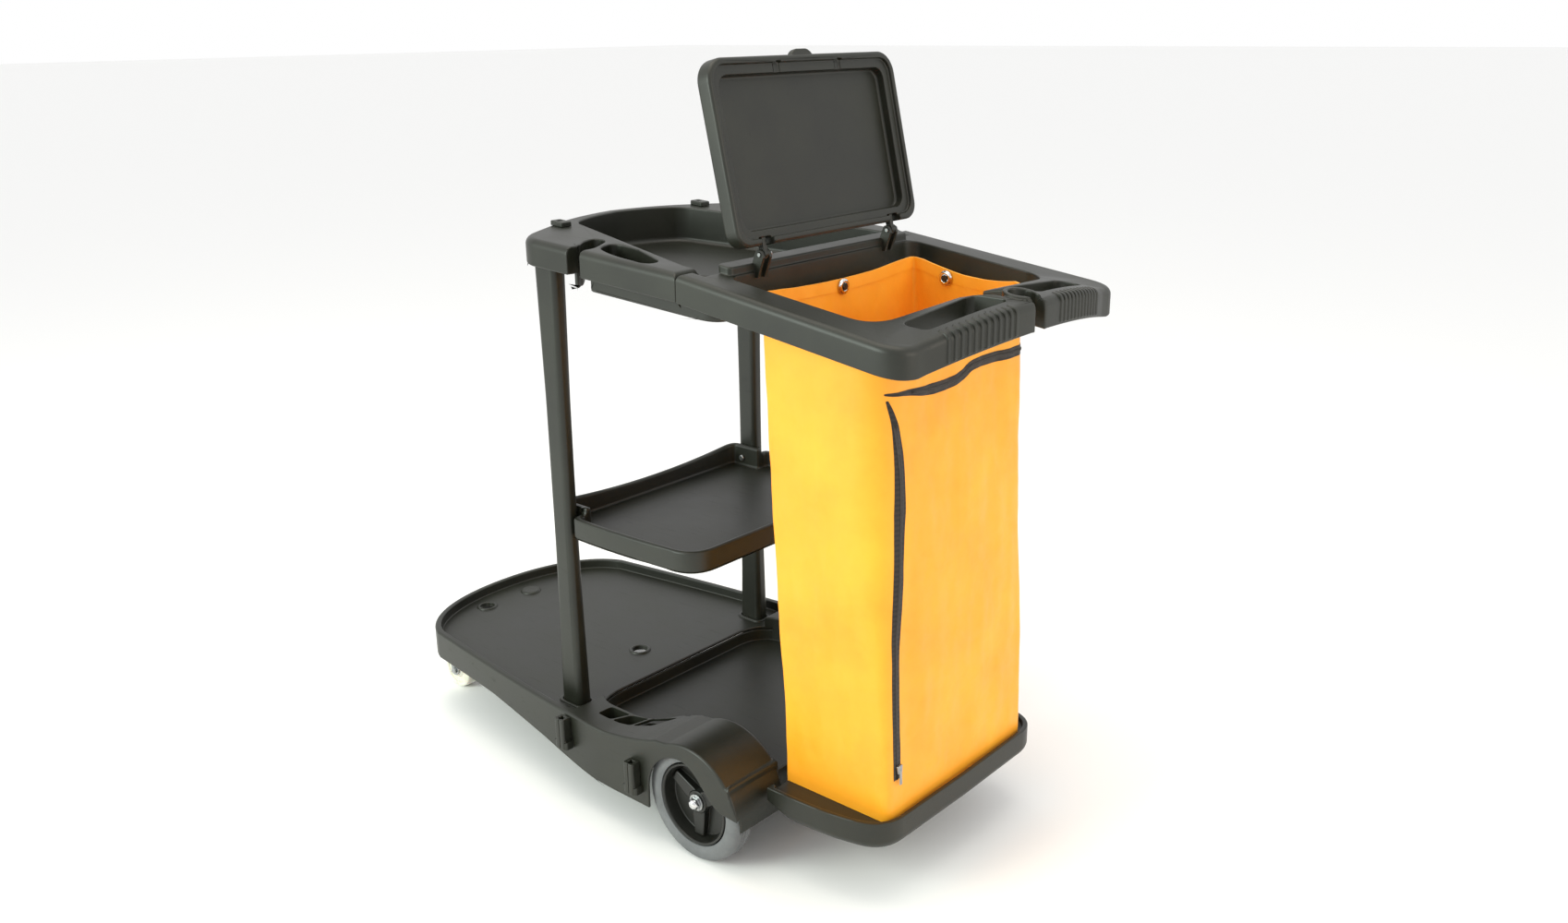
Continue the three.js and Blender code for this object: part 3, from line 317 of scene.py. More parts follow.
def linear(hex_colour):
    """A colour for a shader from its sRGB hex value."""
    channels = [int(hex_colour[i:i + 2], 16) / 255 for i in (1, 3, 5)]
    return [c / 12.92 if c <= 0.04045 else ((c + 0.055) / 1.055) ** 2.4 for c in channels] + [1]


def node(tree, kind, settings=None, **links):
    """Adds a node: settings are its properties and its sockets' values, links feed its sockets."""
    made = tree.nodes.new("ShaderNode" + kind)
    for key, value in (settings or {}).items():
        if isinstance(key, int) or key in made.inputs:
            made.inputs[key].default_value = value
        else:
            setattr(made, key, value)
    for key, source in links.items():
        socket = made.inputs[int(key[1:]) if key[1:].isdigit() else key.replace("_", " ")]
        tree.links.new(source, socket)
    return made


def new_material(name):
    material = bpy.data.materials.new(name)
    material.use_nodes = True
    tree = material.node_tree
    shader = tree.nodes["Principled BSDF"]
    place_in_frame = node(tree, "TexCoord").outputs["Object"]
    return material, tree, shader, place_in_frame


def ramp(tree, source, low, high, dark, light):
    """Maps a pattern's range low..high to two values or colours."""
    made = node(tree, "ValToRGB", Fac=source)
    ends = made.color_ramp.elements
    for end, spot, colour in zip(ends, (low, high), (dark, light)):
        end.position = spot
        end.color = linear(colour) if isinstance(colour, str) else (colour, colour, colour, 1)
    return made.outputs["Color"]


def bump(tree, height, strength, distance, normal=None):
    links = {"Height": height}
    if normal:
        links["Normal"] = normal
    return node(tree, "Bump", {"Strength": strength, "Distance": distance}, **links).outputs["Normal"]


def moulded_polypropylene(name, dark, light, rough, grain=0.9):
    """Black polypropylene from a spark-textured mould: satin, finely pitted, and scuffed by use."""
    material, tree, shader, spot = new_material(name)
    pits = node(tree, "TexNoise", {"Scale": 1 / (grain * MM), "Detail": 3.0}, Vector=spot).outputs["Fac"]
    clouds = node(tree, "TexNoise", {"Scale": 9.0, "Detail": 5.0, "Roughness": 0.6},
                  Vector=spot).outputs["Fac"]
    stretched = node(tree, "Mapping", {"Scale": (14, 260, 90), "Rotation": (0.3, 0.5, 0.7)}, Vector=spot)
    scuffs = node(tree, "TexNoise", {"Scale": 1.0, "Detail": 4.0, "Roughness": 0.7},
                  Vector=stretched.outputs["Vector"]).outputs["Fac"]
    tree.links.new(ramp(tree, clouds, 0.35, 0.68, dark, light), shader.inputs["Base Color"])
    worn = node(tree, "Math", {"operation": "MULTIPLY_ADD", 1: 0.16, 2: rough - 0.12}, i0=clouds).outputs[0]
    rubbed = ramp(tree, scuffs, 0.6, 0.74, 0.0, 0.12)
    sheen = node(tree, "Math", {"operation": "ADD"}, i0=worn, i1=rubbed).outputs[0]
    tree.links.new(sheen, shader.inputs["Roughness"])
    shader.inputs["IOR"].default_value = 1.49
    texture = bump(tree, pits, 0.22, 0.25 * MM)
    tree.links.new(bump(tree, scuffs, 0.05, 0.3 * MM, texture), shader.inputs["Normal"])
    return material


def grey_rubber():
    """Grey non-marking rubber: matt, dusty, with a faint moulding bloom."""
    material, tree, shader, spot = new_material("grey thermoplastic rubber")
    bloom = node(tree, "TexNoise", {"Scale": 22.0, "Detail": 6.0, "Roughness": 0.65},
                 Vector=spot).outputs["Fac"]
    grit = node(tree, "TexNoise", {"Scale": 1 / (1.1 * MM), "Detail": 2.0}, Vector=spot).outputs["Fac"]
    tree.links.new(ramp(tree, bloom, 0.3, 0.72, "#57595a", "#727475"), shader.inputs["Base Color"])
    tree.links.new(ramp(tree, bloom, 0.3, 0.7, 0.62, 0.8), shader.inputs["Roughness"])
    shader.inputs["IOR"].default_value = 1.52
    tree.links.new(bump(tree, grit, 0.3, 0.2 * MM), shader.inputs["Normal"])
    return material


def cream_nylon():
    """Cream nylon: a slightly waxy, smooth moulding, greyed where it rolls."""
    material, tree, shader, spot = new_material("cream nylon")
    stain = node(tree, "TexNoise", {"Scale": 35.0, "Detail": 5.0}, Vector=spot).outputs["Fac"]
    tree.links.new(ramp(tree, stain, 0.35, 0.7, "#cdc9b8", "#ebe8dc"), shader.inputs["Base Color"])
    tree.links.new(ramp(tree, stain, 0.3, 0.7, 0.34, 0.5), shader.inputs["Roughness"])
    shader.inputs["IOR"].default_value = 1.53
    shader.inputs["Subsurface Weight"].default_value = 0.15
    shader.inputs["Subsurface Scale"].default_value = 2 * MM
    return material


def plated_steel(name, dark, light, rough, grain):
    """Plated steel: a bright skin with fine drawing lines and a little tarnish."""
    material, tree, shader, spot = new_material(name)
    stretched = node(tree, "Mapping", {"Scale": (grain, grain, grain / 12)}, Vector=spot)
    lines = node(tree, "TexNoise", {"Scale": 1.0, "Detail": 3.0},
                 Vector=stretched.outputs["Vector"]).outputs["Fac"]
    tree.links.new(ramp(tree, lines, 0.35, 0.65, dark, light), shader.inputs["Base Color"])
    tree.links.new(ramp(tree, lines, 0.3, 0.7, rough, rough + 0.14), shader.inputs["Roughness"])
    shader.inputs["Metallic"].default_value = 1.0
    tree.links.new(bump(tree, lines, 0.08, 0.1 * MM), shader.inputs["Normal"])
    return material


def coated_fabric(name, deep, pale, weave=1.4):
    """Vinyl-coated polyester: a satin skin with a basket weave showing through it, and soft creases."""
    material, tree, shader, spot = new_material(name)
    uv = node(tree, "UVMap", {"uv_map": "cloth"}).outputs["UV"]
    threads = 1 / (weave * MM)
    warp, weft = [node(tree, "TexWave", {"bands_direction": way, "Scale": threads / 20, "Distortion": 0.0},
                       Vector=uv) for way in "XY"]
    basket = node(tree, "Math", {"operation": "MULTIPLY"}, i0=warp.outputs["Fac"], i1=weft.outputs["Fac"])
    dye = node(tree, "TexNoise", {"Scale": 6.0, "Detail": 6.0, "Roughness": 0.6}, Vector=spot).outputs["Fac"]
    creases = node(tree, "TexNoise", {"Scale": 38.0, "Detail": 7.0, "Roughness": 0.62, "Distortion": 0.6},
                   Vector=spot).outputs["Fac"]
    tree.links.new(ramp(tree, dye, 0.3, 0.7, deep, pale), shader.inputs["Base Color"])
    tree.links.new(ramp(tree, creases, 0.35, 0.7, 0.42, 0.58), shader.inputs["Roughness"])
    shader.inputs["IOR"].default_value = 1.52
    shader.inputs["Sheen Weight"].default_value = 0.08
    woven = bump(tree, basket.outputs[0], 0.12, 0.2 * MM)
    tree.links.new(bump(tree, creases, 0.35, 1.2 * MM, woven), shader.inputs["Normal"])
    return material


def zip_polyester():
    """Dark polyester zip tape: a tight herringbone, with no shine."""
    material, tree, shader, spot = new_material("dark woven polyester")
    rib = node(tree, "TexWave", {"bands_direction": "Z", "Scale": 42.0, "Distortion": 1.0},
               Vector=spot).outputs["Fac"]
    tree.links.new(ramp(tree, rib, 0.2, 0.8, "#130e0a", "#2a2119"), shader.inputs["Base Color"])
    shader.inputs["Roughness"].default_value = 0.82
    shader.inputs["Sheen Weight"].default_value = 0.2
    tree.links.new(bump(tree, rib, 0.4, 0.3 * MM), shader.inputs["Normal"])
    return material


def zip_coil():
    """Dark nylon coil: smoother than the tape, with a small glint on each turn."""
    material, tree, shader, spot = new_material("dark nylon coil")
    tone = node(tree, "TexNoise", {"Scale": 300.0, "Detail": 2.0}, Vector=spot).outputs["Fac"]
    tree.links.new(ramp(tree, tone, 0.3, 0.7, "#1d1712", "#2e2620"), shader.inputs["Base Color"])
    shader.inputs["Roughness"].default_value = 0.45
    shader.inputs["IOR"].default_value = 1.53
    return material


BODY = moulded_polypropylene("black polypropylene", "#15170f", "#1f2118", 0.47)
HUB = moulded_polypropylene("black glass-filled nylon", "#0f100c", "#181914", 0.42)
RUBBER = grey_rubber()
NYLON = cream_nylon()
CHROME = plated_steel("chromed steel", "#c9cacb", "#e4e4e4", 0.08, 900)
ZINC = plated_steel("zinc-plated steel", "#8f9192", "#b9bbbc", 0.3, 700)
VINYL = coated_fabric("vinyl-coated polyester", "#fa9c0e", "#ffb01e")
TAPE = zip_polyester()
COIL = zip_coil()

# ---- Base: deck, tray, rims and fenders in one moulding ----

RIM_TOP = 165
DECK_FLOOR = 147
TRAY_FLOOR = 118
WALL = 5
DECK_REAR = 424
HALF_WIDTH = 297
FENDER_INNER = 183
POST_Y = 230
WHEEL_X, WHEEL_Z = 333, 98
WELL_RADIUS = 102


def deck_plan(inset):
    front = -510 + inset
    return whole(outline(
        (front, 0),
        ((front, 130), (-462 + 0.8 * inset, 216 - 0.7 * inset), (-392, 240 - inset)),
        ((-90, 284 - inset), (110, HALF_WIDTH - inset)),
        (DECK_REAR - inset, HALF_WIDTH - inset), fine=18))


def deck_recess(grow=0):
    return whole(outline(
        (-498 - grow, 0), ((-498 - grow, 126), (-453 - grow, 207 + grow), (-388, 228 + grow)),
        ((-90, 271 + grow), (0, 275 + grow)), (26, 276 + grow),
        ((46 + grow, 276 + grow), (46 + grow, 256)), (46 + grow, 200), fine=16))


def tray_plan(grow):
    front, side, waist = 26 - grow, 222 + grow, FENDER_INNER + grow
    return whole(outline(
        (front, 0), (front, 150 + grow), ((front, 200 + grow), (50, side), (90, side)), (160, side),
        ((215, side), (205, waist), (262, waist)), (DECK_REAR - 7, waist), fine=14))


def fender_profile():
    points = outline((112, 90), (112, RIM_TOP - 3), ((205, 170), (262, 192)), fine=14)
    for i in range(25):
        angle = 2.0 * (1 - i / 24)
        points.append(Vector((WHEEL_X + 107 * math.cos(angle), WHEEL_Z + 107 * math.sin(angle), 0)))
    return points + [Vector((WHEEL_X + 107, 90, 0))]


def arch_opening():
    return outline((246, 20), (246, 96), ((246, 150), (285, 176), (320, 176)),
                   ((362, 174), (372, 118), (412, 115)), (460, 112), (460, 20), fine=16)


def below_skirt():
    return outline((-560, 108), (-330, 111), ((-250, 113), (-190, 110)), ((-110, 102), (-30, 90)),
                   ((20, 80), (70, 71)), ((110, 64), (160, 63)), (400, 62), (400, 89), (470, 89),
                   (470, -40), (-560, -40))


def rim_pockets():
    """Three pockets in the rim beside the tray, with two leaning dividers between them."""
    plans = (
        ((90, 229), (134, 228), (120, 260), (88, 259)),
        ((139, 228), (176, 224), (165, 257), (125, 260)),
        ((181, 223), (224, 203), (203, 243), (170, 256)),
    )
    return [pair(prism(rounded(*[(*corner, 5) for corner in plan]), 132, 190)) for plan in plans]


def wheel_well():
    y0, y1 = FENDER_INNER + WALL, HALF_WIDTH - WALL
    drum = bar("Y", WELL_RADIUS, (WHEEL_X, (y0 + y1) / 2, WHEEL_Z), y1 - y0, 96)
    below = block(WHEEL_X - WELL_RADIUS, WHEEL_X + WELL_RADIUS, y0, y1, 20, WHEEL_Z)
    before = side_prism(outline((102, 0), (102, 156), ((205, 166), (250, 184)), (250, 0)), y0, y1)
    return pair(drum), pair(below), pair(before)


DECK_HOLES = (-450, -80), (-63, -21), (-445, 28)


def base_platform():
    body = cut(prism(deck_plan(0), 40, RIM_TOP, 4.5, "top", 5), prism(deck_plan(WALL), 20, DECK_FLOOR - 6))
    body = join(body, pair(side_prism(fender_profile(), FENDER_INNER + 26, HALF_WIDTH, 4.5, 4)),
                pair(side_prism(fender_profile(), FENDER_INNER, HALF_WIDTH - 20, 8, 5)))
    body = cut(body, *wheel_well())
    body = join(
        body,
        prism(tray_plan(WALL), TRAY_FLOOR - 6, 140),
        pair(block(-33, 33, 208, 252, 114, DECK_FLOOR - 2)),
        pair(block(WHEEL_X - 40, WHEEL_X + 40, FENDER_INNER, FENDER_INNER + WALL, 82, 130)),
        pair(prism(rounded((60, 208), (176, 208), (228, 188), (228, 290), (60, 290)), 126, RIM_TOP - 2)),
        pair(bar("Z", 34, (-425, 150, 136), 16)))
    body = cut(
        body,
        prism(deck_recess(), DECK_FLOOR, 260),
        prism(tray_plan(0), TRAY_FLOOR, 260),
        pair(side_prism(arch_opening(), HALF_WIDTH - 10, HALF_WIDTH + 10)),
        side_prism(below_skirt(), -330, 330))
    body = cut(rounded_off(body, 2.4), *rim_pockets())
    lips = [turned("Z", [(13, 144), (20.5, 144), (20.5, 147.4), (19, 149.6), (16.6, 150.2), (13, 148.6)],
                   (x, y, 0), 48) for x, y in DECK_HOLES]
    feet = pair(prism(rectangle(-31, 31, 209.5, 250.5, 13), 140, 150.5, 2.5, "top"))
    body = cut(
        join(body, *lips, feet),
        pair(prism(rectangle(-25.5, 25.5, POST_Y - 15.5, POST_Y + 15.5, 9), 121.6, 200)),
        *[bar("Z", 14, (x, y, 140), 80) for x, y in DECK_HOLES],
        bar("Y", 6.4, (WHEEL_X, 0, WHEEL_Z), 480, 24),
        pair(bar("Z", 2.9, (384, 100, 120), 40, 16)),
        block(380, 440, -FENDER_INNER, FENDER_INNER, 20, TRAY_FLOOR - 6),
        block(380, 440, -FENDER_INNER, FENDER_INNER, 148, 220))
    finish(body, "base_moulding", "cart", BODY, ["base_platform"], 0.7)


# ---- Posts ----


def post(side):
    """A tapering tube with a waist, its section a rounded rectangle."""
    low, high = place("post_" + side)
    levels = 14
    bm = bmesh.new()
    below = []
    for i in range(levels):
        share = i / (levels - 1)
        waist = 1 - (2 * share - 1) ** 2
        width, depth = 51 - 8 * waist, 30 - 5 * waist
        section = rectangle(-width / 2, width / 2, -depth / 2, depth / 2, 11, fine=8)
        z = low.z + share * (high.z - low.z)
        ring = [bm.verts.new((p.x, (low.y + high.y) / 2 + p.y, z)) for p in section]
        edges = [bm.edges.new((v, ring[(j + 1) % len(ring)])) for j, v in enumerate(ring)]
        if below:
            bmesh.ops.bridge_loops(bm, edges=below + edges)
        below = edges
    bmesh.ops.holes_fill(bm, edges=[e for e in bm.edges if e.is_boundary])
    bmesh.ops.recalc_face_normals(bm, faces=bm.faces[:])
    finish(bm, "post_moulding_" + side, "cart", BODY, ["post_" + side], sharp=60)


# ---- Middle shelf ----

SHELF_BOTTOM = 460
SHELF_RIM = 508


def shelf_plan(inset):
    inner, front, rear, side = 216.5 - inset, -36 + inset, 306 - inset, 246 - inset
    return whole(outline(
        (front, 0), (front, 190 - inset), ((front, inner), (-14, inner)), (28 + inset, inner),
        (28 + inset, side - 16), ((28 + inset, side - 6), (40 + inset, side - 4)),
        ((120, side + 2), (260, side - 8)), ((rear, side - 12), (rear, 186)), (rear, 0), fine=14))


def middle_shelf():
    above = outline((-260, 560), (-260, SHELF_RIM + 6), ((0, SHELF_RIM - 30), (260, SHELF_RIM + 6)),
                    (260, 560), fine=32)
    dip = prism(above, -70, 60)
    turn = Matrix.Rotation(math.pi / 2, 4, "Z") @ Matrix.Rotation(math.pi / 2, 4, "X")
    bmesh.ops.transform(dip, verts=dip.verts[:], matrix=turn)
    side = outline((60, SHELF_RIM - 12), (400, SHELF_RIM - 12), (400, 600), (20, 600), (20, SHELF_RIM - 22),
                   ((22, SHELF_RIM - 12), (34, SHELF_RIM - 11)), fine=8)
    body = cut(
        prism(shelf_plan(0), SHELF_BOTTOM, SHELF_RIM + 10, 6, "bottom"),
        prism(shelf_plan(11), SHELF_BOTTOM + 9, 600, 5, "bottom"),
        prism(shelf_plan(4), SHELF_BOTTOM - 20, SHELF_BOTTOM + 4),
        dip,
        block(60, 400, -260, 260, SHELF_RIM - 12, 600),
        pair(side_prism(side, 217.5, 260)))
    finish(body, "shelf_moulding", "cart", BODY, ["middle_shelf"], 4.2)


# ---- Top tray, drawn flat with its top at 0, and then sloped ----

TRAY_TOP = 957
TRAY_SLOPE = 0.0625
SEAM_X = 322
FRAME_SLOPE = 0.132
RAIL_DEPTH = 42
PAN_DEPTH = 66


def set_tray(bm):
    return leaning(bm, TRAY_SLOPE, 0, TRAY_TOP)


def set_frame(bm):
    return leaning(bm, FRAME_SLOPE, SEAM_X, TRAY_TOP - TRAY_SLOPE * SEAM_X)


def tray_outline(inset):
    side = 271 - inset
    return whole(outline(
        (-116 + inset, 0), ((-108 + inset, 90), (-80 + inset, 150)), (-44 + inset, 226),
        ((-24 + 0.8 * inset, side - 3), (10, side - 1)), (SEAM_X, side), fine=14))


def bin_plan(grow):
    return whole(outline(
        (-92 - grow, 0), ((-84 - grow, 70), (-66 - grow, 104)),
        ((-58 - grow, 122 + grow), (-34, 128 + grow)), (285, 220 + grow),
        ((338 + grow, 232 + grow), (338 + grow, 200)), (338 + grow, 0), fine=12))


def pan_plan(inset):
    side = 250 - inset
    return whole(outline(
        (-100 + inset, 0), (-70 + inset, 110), (60 + inset, 150), (74 + inset, side - 14),
        ((76 + inset, side), (90 + inset, side)), (340, side), ((380 - inset, side), (380 - inset, 214)),
        (380 - inset, 0), fine=12))


def tool_notch(grow):
    return rounded((90 - grow, 300), (90 - grow, 246, 14), (66 - grow, 212, 16), (64 - grow, 186 - grow, 11),
                   (88 + grow, 186 - grow, 11), (118 + grow, 240, 12), (118 + grow, 300))


def slot_pocket(grow):
    return rounded((108 - grow, 190 - grow, 17), (160, 191 - grow, 40), (250 + grow, 228, 17),
                   (250 + grow, 257 + grow, 15), (176, 252 + grow, 40), (118 - grow, 231 + grow, 17))


def top_tray():
    hollow = cut(
        prism(tray_outline(WALL), -RAIL_DEPTH - 20, -WALL - 2),
        prism(bin_plan(WALL), -100, 20),
        pair(prism(tool_notch(WALL), -100, 20)),
        pair(prism(slot_pocket(4), -34, 20)),
        pair(block(-32, 32, 208, 252, -100, 20)))
    pan = cut(
        prism(pan_plan(0), -PAN_DEPTH, -RAIL_DEPTH + 0.6, 6, "bottom"),
        cut(prism(pan_plan(WALL), -100, -RAIL_DEPTH - WALL), prism(bin_plan(WALL), -100, 20)))
    body = join(cut(prism(tray_outline(0), -RAIL_DEPTH, 0, 12, "top", 6), hollow), pan)
    ledge = cut(block(SEAM_X - 1, 400, -260, 260, -RAIL_DEPTH - 0.4, 10), prism(bin_plan(WALL), -100, 20))
    body = join(cut(body, ledge), prism(bin_plan(WALL), -PAN_DEPTH, -8))
    body = cut(
        body,
        prism(bin_plan(0), -PAN_DEPTH + WALL, 30, 9, "bottom", 5),
        pair(prism(tool_notch(0), -100, 30)),
        pair(prism(slot_pocket(0), -30, 30)))
    body = cut(
        rounded_off(body, 2.6),
        pair(prism(rectangle(-26.6, 26.6, POST_Y - 15.6, POST_Y + 15.6, 8), -100, -8)),
        pair(block(60, 130, 249, 300, -100, -RAIL_DEPTH - 0.01)),
        pair(bar("Z", 2.9, (361, 120, -43), 86, 16)))
    body = cut(redrawn(body, set_tray), set_frame(prism(frame_plan(-0.5), -RAIL_DEPTH - 0.4, 60)))
    finish(body, "tray_moulding", "cart", BODY, ["top_tray"], 0.7)
    for side in ("left", "right"):
        latch = cut(prism(rectangle(-64, -34, 150, 172, 4), 0.4, 8, 2, "top"),
                    prism(rectangle(-56, -48, 156, 166, 2), 4, 20))
        latch = redrawn(latch, lambda bm: on_side(set_tray(bm), side))
        finish(latch, "latch_" + side, "cart", BODY, ["post_latch_" + side], 0.8)


# ---- Bag frame, drawn flat in the same way ----

FRAME_REAR = 720
HANDLE_BOW = 30
HANDLE_ARCH = 28
HANDLE_HALF_SPAN = 236
CUP_X = 718
HINGE_X, HINGE_Z = 383, 955
LUGS = 151, -151


def bow(y):
    """How far the handle bows back at y."""
    return HANDLE_BOW * max(0, 1 - (y / HANDLE_HALF_SPAN) ** 2)


def frame_plan(inset):
    side = 276 - inset
    half = outline(
        (346 + inset, 0), (346 + inset, 236 + inset), (SEAM_X + 0.4 + inset, 236 + inset),
        (SEAM_X + 0.4 + inset, side - 4), (FRAME_REAR - 46, side + 3),
        ((FRAME_REAR + 2 - inset, side + 3), (FRAME_REAR + 2 - inset, HANDLE_HALF_SPAN)), fine=14)
    for i in range(1, 25):
        y = HANDLE_HALF_SPAN * (1 - i / 24)
        half.append(Vector((FRAME_REAR + bow(y) - inset, y, 0)))
    return half + [Vector((p.x, -p.y, 0)) for p in reversed(half) if abs(p.y) > 1e-6]


def mouth_plan(grow):
    return rounded((374 - grow, -219 - grow, 22), (636 + grow, -219 - grow, 46),
                   (636 + grow, 219 + grow, 46), (374 - grow, 219 + grow, 22), fine=14)


def hand_hole(grow):
    inner, outer = 38 - grow, 198 + grow
    rear = []
    for i in range(9):
        y = outer + (inner - outer) * i / 8
        rear.append((FRAME_REAR - 28 + bow(y) + grow, y, 12 if i in (0, 8) else 0))
    return rounded((659 - grow, inner, 12), (659 - grow, outer, 16), *rear, fine=8)


def arched(spot):
    """The handle rises in its middle, and the ends of the hand loops rise with it."""
    share = min(1, max(0, (spot.x - 600) / (FRAME_REAR - 620)))
    lift = HANDLE_ARCH * max(0, 1 - (spot.y / HANDLE_HALF_SPAN) ** 2)
    return Vector((spot.x, spot.y, spot.z + share * share * (3 - 2 * share) * lift))


def grip_ribs():
    """Rounded ribs that wrap over the top and down the back of one grip."""
    ribs = []
    for i in range(12):
        y = 58 + 12 * i
        back = FRAME_REAR + bow(y) + 1.6
        section = rounded((back - 18, -38), (back - 18, 1.2, 3), (back, 1.2, 17), (back, -38, 2))
        ribs.append(pair(side_prism(section, y - 3.4, y + 3.4, 1.5, 3)))
    return ribs


def hinge_ear(y):
    ear = outline((HINGE_X - 18, HINGE_Z - 22), (HINGE_X - 8, HINGE_Z + 3),
                  ((HINGE_X - 6, HINGE_Z + 9), (HINGE_X + 4, HINGE_Z + 10), (HINGE_X + 7, HINGE_Z - 4)),
                  (HINGE_X - 4, HINGE_Z - 34), (HINGE_X - 14, HINGE_Z - 34))
    return side_prism(ear, y - 2.5, y + 2.5)


def bag_frame():
    cup_z = -13
    hollow = cut(
        prism(frame_plan(WALL), -RAIL_DEPTH - 20, -WALL - 2),
        prism(mouth_plan(WALL), -100, 20),
        prism(rectangle(595, CUP_X - 5, -35, 35, 8), -100, 20),
        bar("Z", 27, (CUP_X, 0, cup_z), 34),
        pair(prism(hand_hole(4), -100, 20)),
        pair(bar("Z", 9.5, (361, 120, -30), 60)),
        prism(rectangle(700, 800, -18, 18), -100, 20))
    body = cut(prism(frame_plan(0), -RAIL_DEPTH, 0, 11, "top", 6), hollow)
    body = join(body, prism(rectangle(347, 373, -212, 212, 8), -6, 12, 3, "top"))
    body = cut(body, prism(mouth_plan(0), -100, 3), prism(rectangle(600, CUP_X - 10, -30, 30, 10), -100, 60),
               pair(prism(hand_hole(0), -100, 60)))
    body = join(body, bar("Z", 26, (CUP_X, 0, cup_z), 34, 64))
    body = cut(body, bar("Z", 18.5, (CUP_X, 0, 0), 120, 64), block(CUP_X, 800, -12, 12, -60, 60))
    body = cut(join(rounded_off(body, 2.4), *grip_ribs()), pair(bar("Z", 2.5, (361, 120, -35), 50, 16)))
    body = redrawn(reshape(body, arched), set_frame)
    body = join(body, *[hinge_ear(lug + offset) for lug in LUGS for offset in (-7.5, 7.5)])
    body = cut(body, bar("Y", 3.4, (HINGE_X, 0, HINGE_Z), 460, 24))
    finish(body, "bag_frame_moulding", "cart", BODY, ["bag_frame"], 0.6)


# ---- Lid, drawn closed with its hinge at 0, and then swung open ----

LID_LENGTH = 275
LID_HALF = 211.5
LID_LEAN = 12.7


def lid():
    body = cut(
        prism(rounded((12, -LID_HALF, 26), (LID_LENGTH, -LID_HALF, 34), (LID_LENGTH, LID_HALF, 34),
                      (12, LID_HALF, 26), fine=10), -13, 13, 5, steps=4),
        prism(rectangle(22, LID_LENGTH - 10, -LID_HALF + 10, LID_HALF - 10, 24), -20, -7, 2, "top"),
        prism(rectangle(34, LID_LENGTH - 24, -LID_HALF + 24, LID_HALF - 24, 18), -20, 8, 4, "top"),
        *[prism(rectangle(LID_LENGTH - 30, LID_LENGTH - 8, y - 7, y + 7, 5), -20, -4.5) for y in (-62, 78)])
    tab = prism(rounded((LID_LENGTH - 6, -28), (LID_LENGTH + 9, -18, 14), (LID_LENGTH + 9, 18, 14),
                        (LID_LENGTH - 6, 28)), -7, 3, 2)
    body = cut(join(body, tab), *[block(-20, 24, y - 12, y + 14, -30, 30) for y in LUGS])
    body = join(body, *[bar("Y", 7, (0, y, 0), 8.8) for y in LUGS],
                *[block(0, 30, y - 4.4, y + 4.4, -5, 5) for y in LUGS])
    body = cut(body, bar("Y", 3.4, (0, 0, 0), 460, 24))
    swing = Matrix.Translation((HINGE_X, 0, HINGE_Z)) @ Matrix.Rotation(-math.radians(90 + LID_LEAN), 4, "Y")
    body.data.transform(swing)
    finish(body, "lid_moulding", "lid", BODY, ["lid"], 2)


# ---- Rear wheels ----

WHEEL_FACE = 286
TYRE_RADIUS = 98
RIM_RADIUS = 69


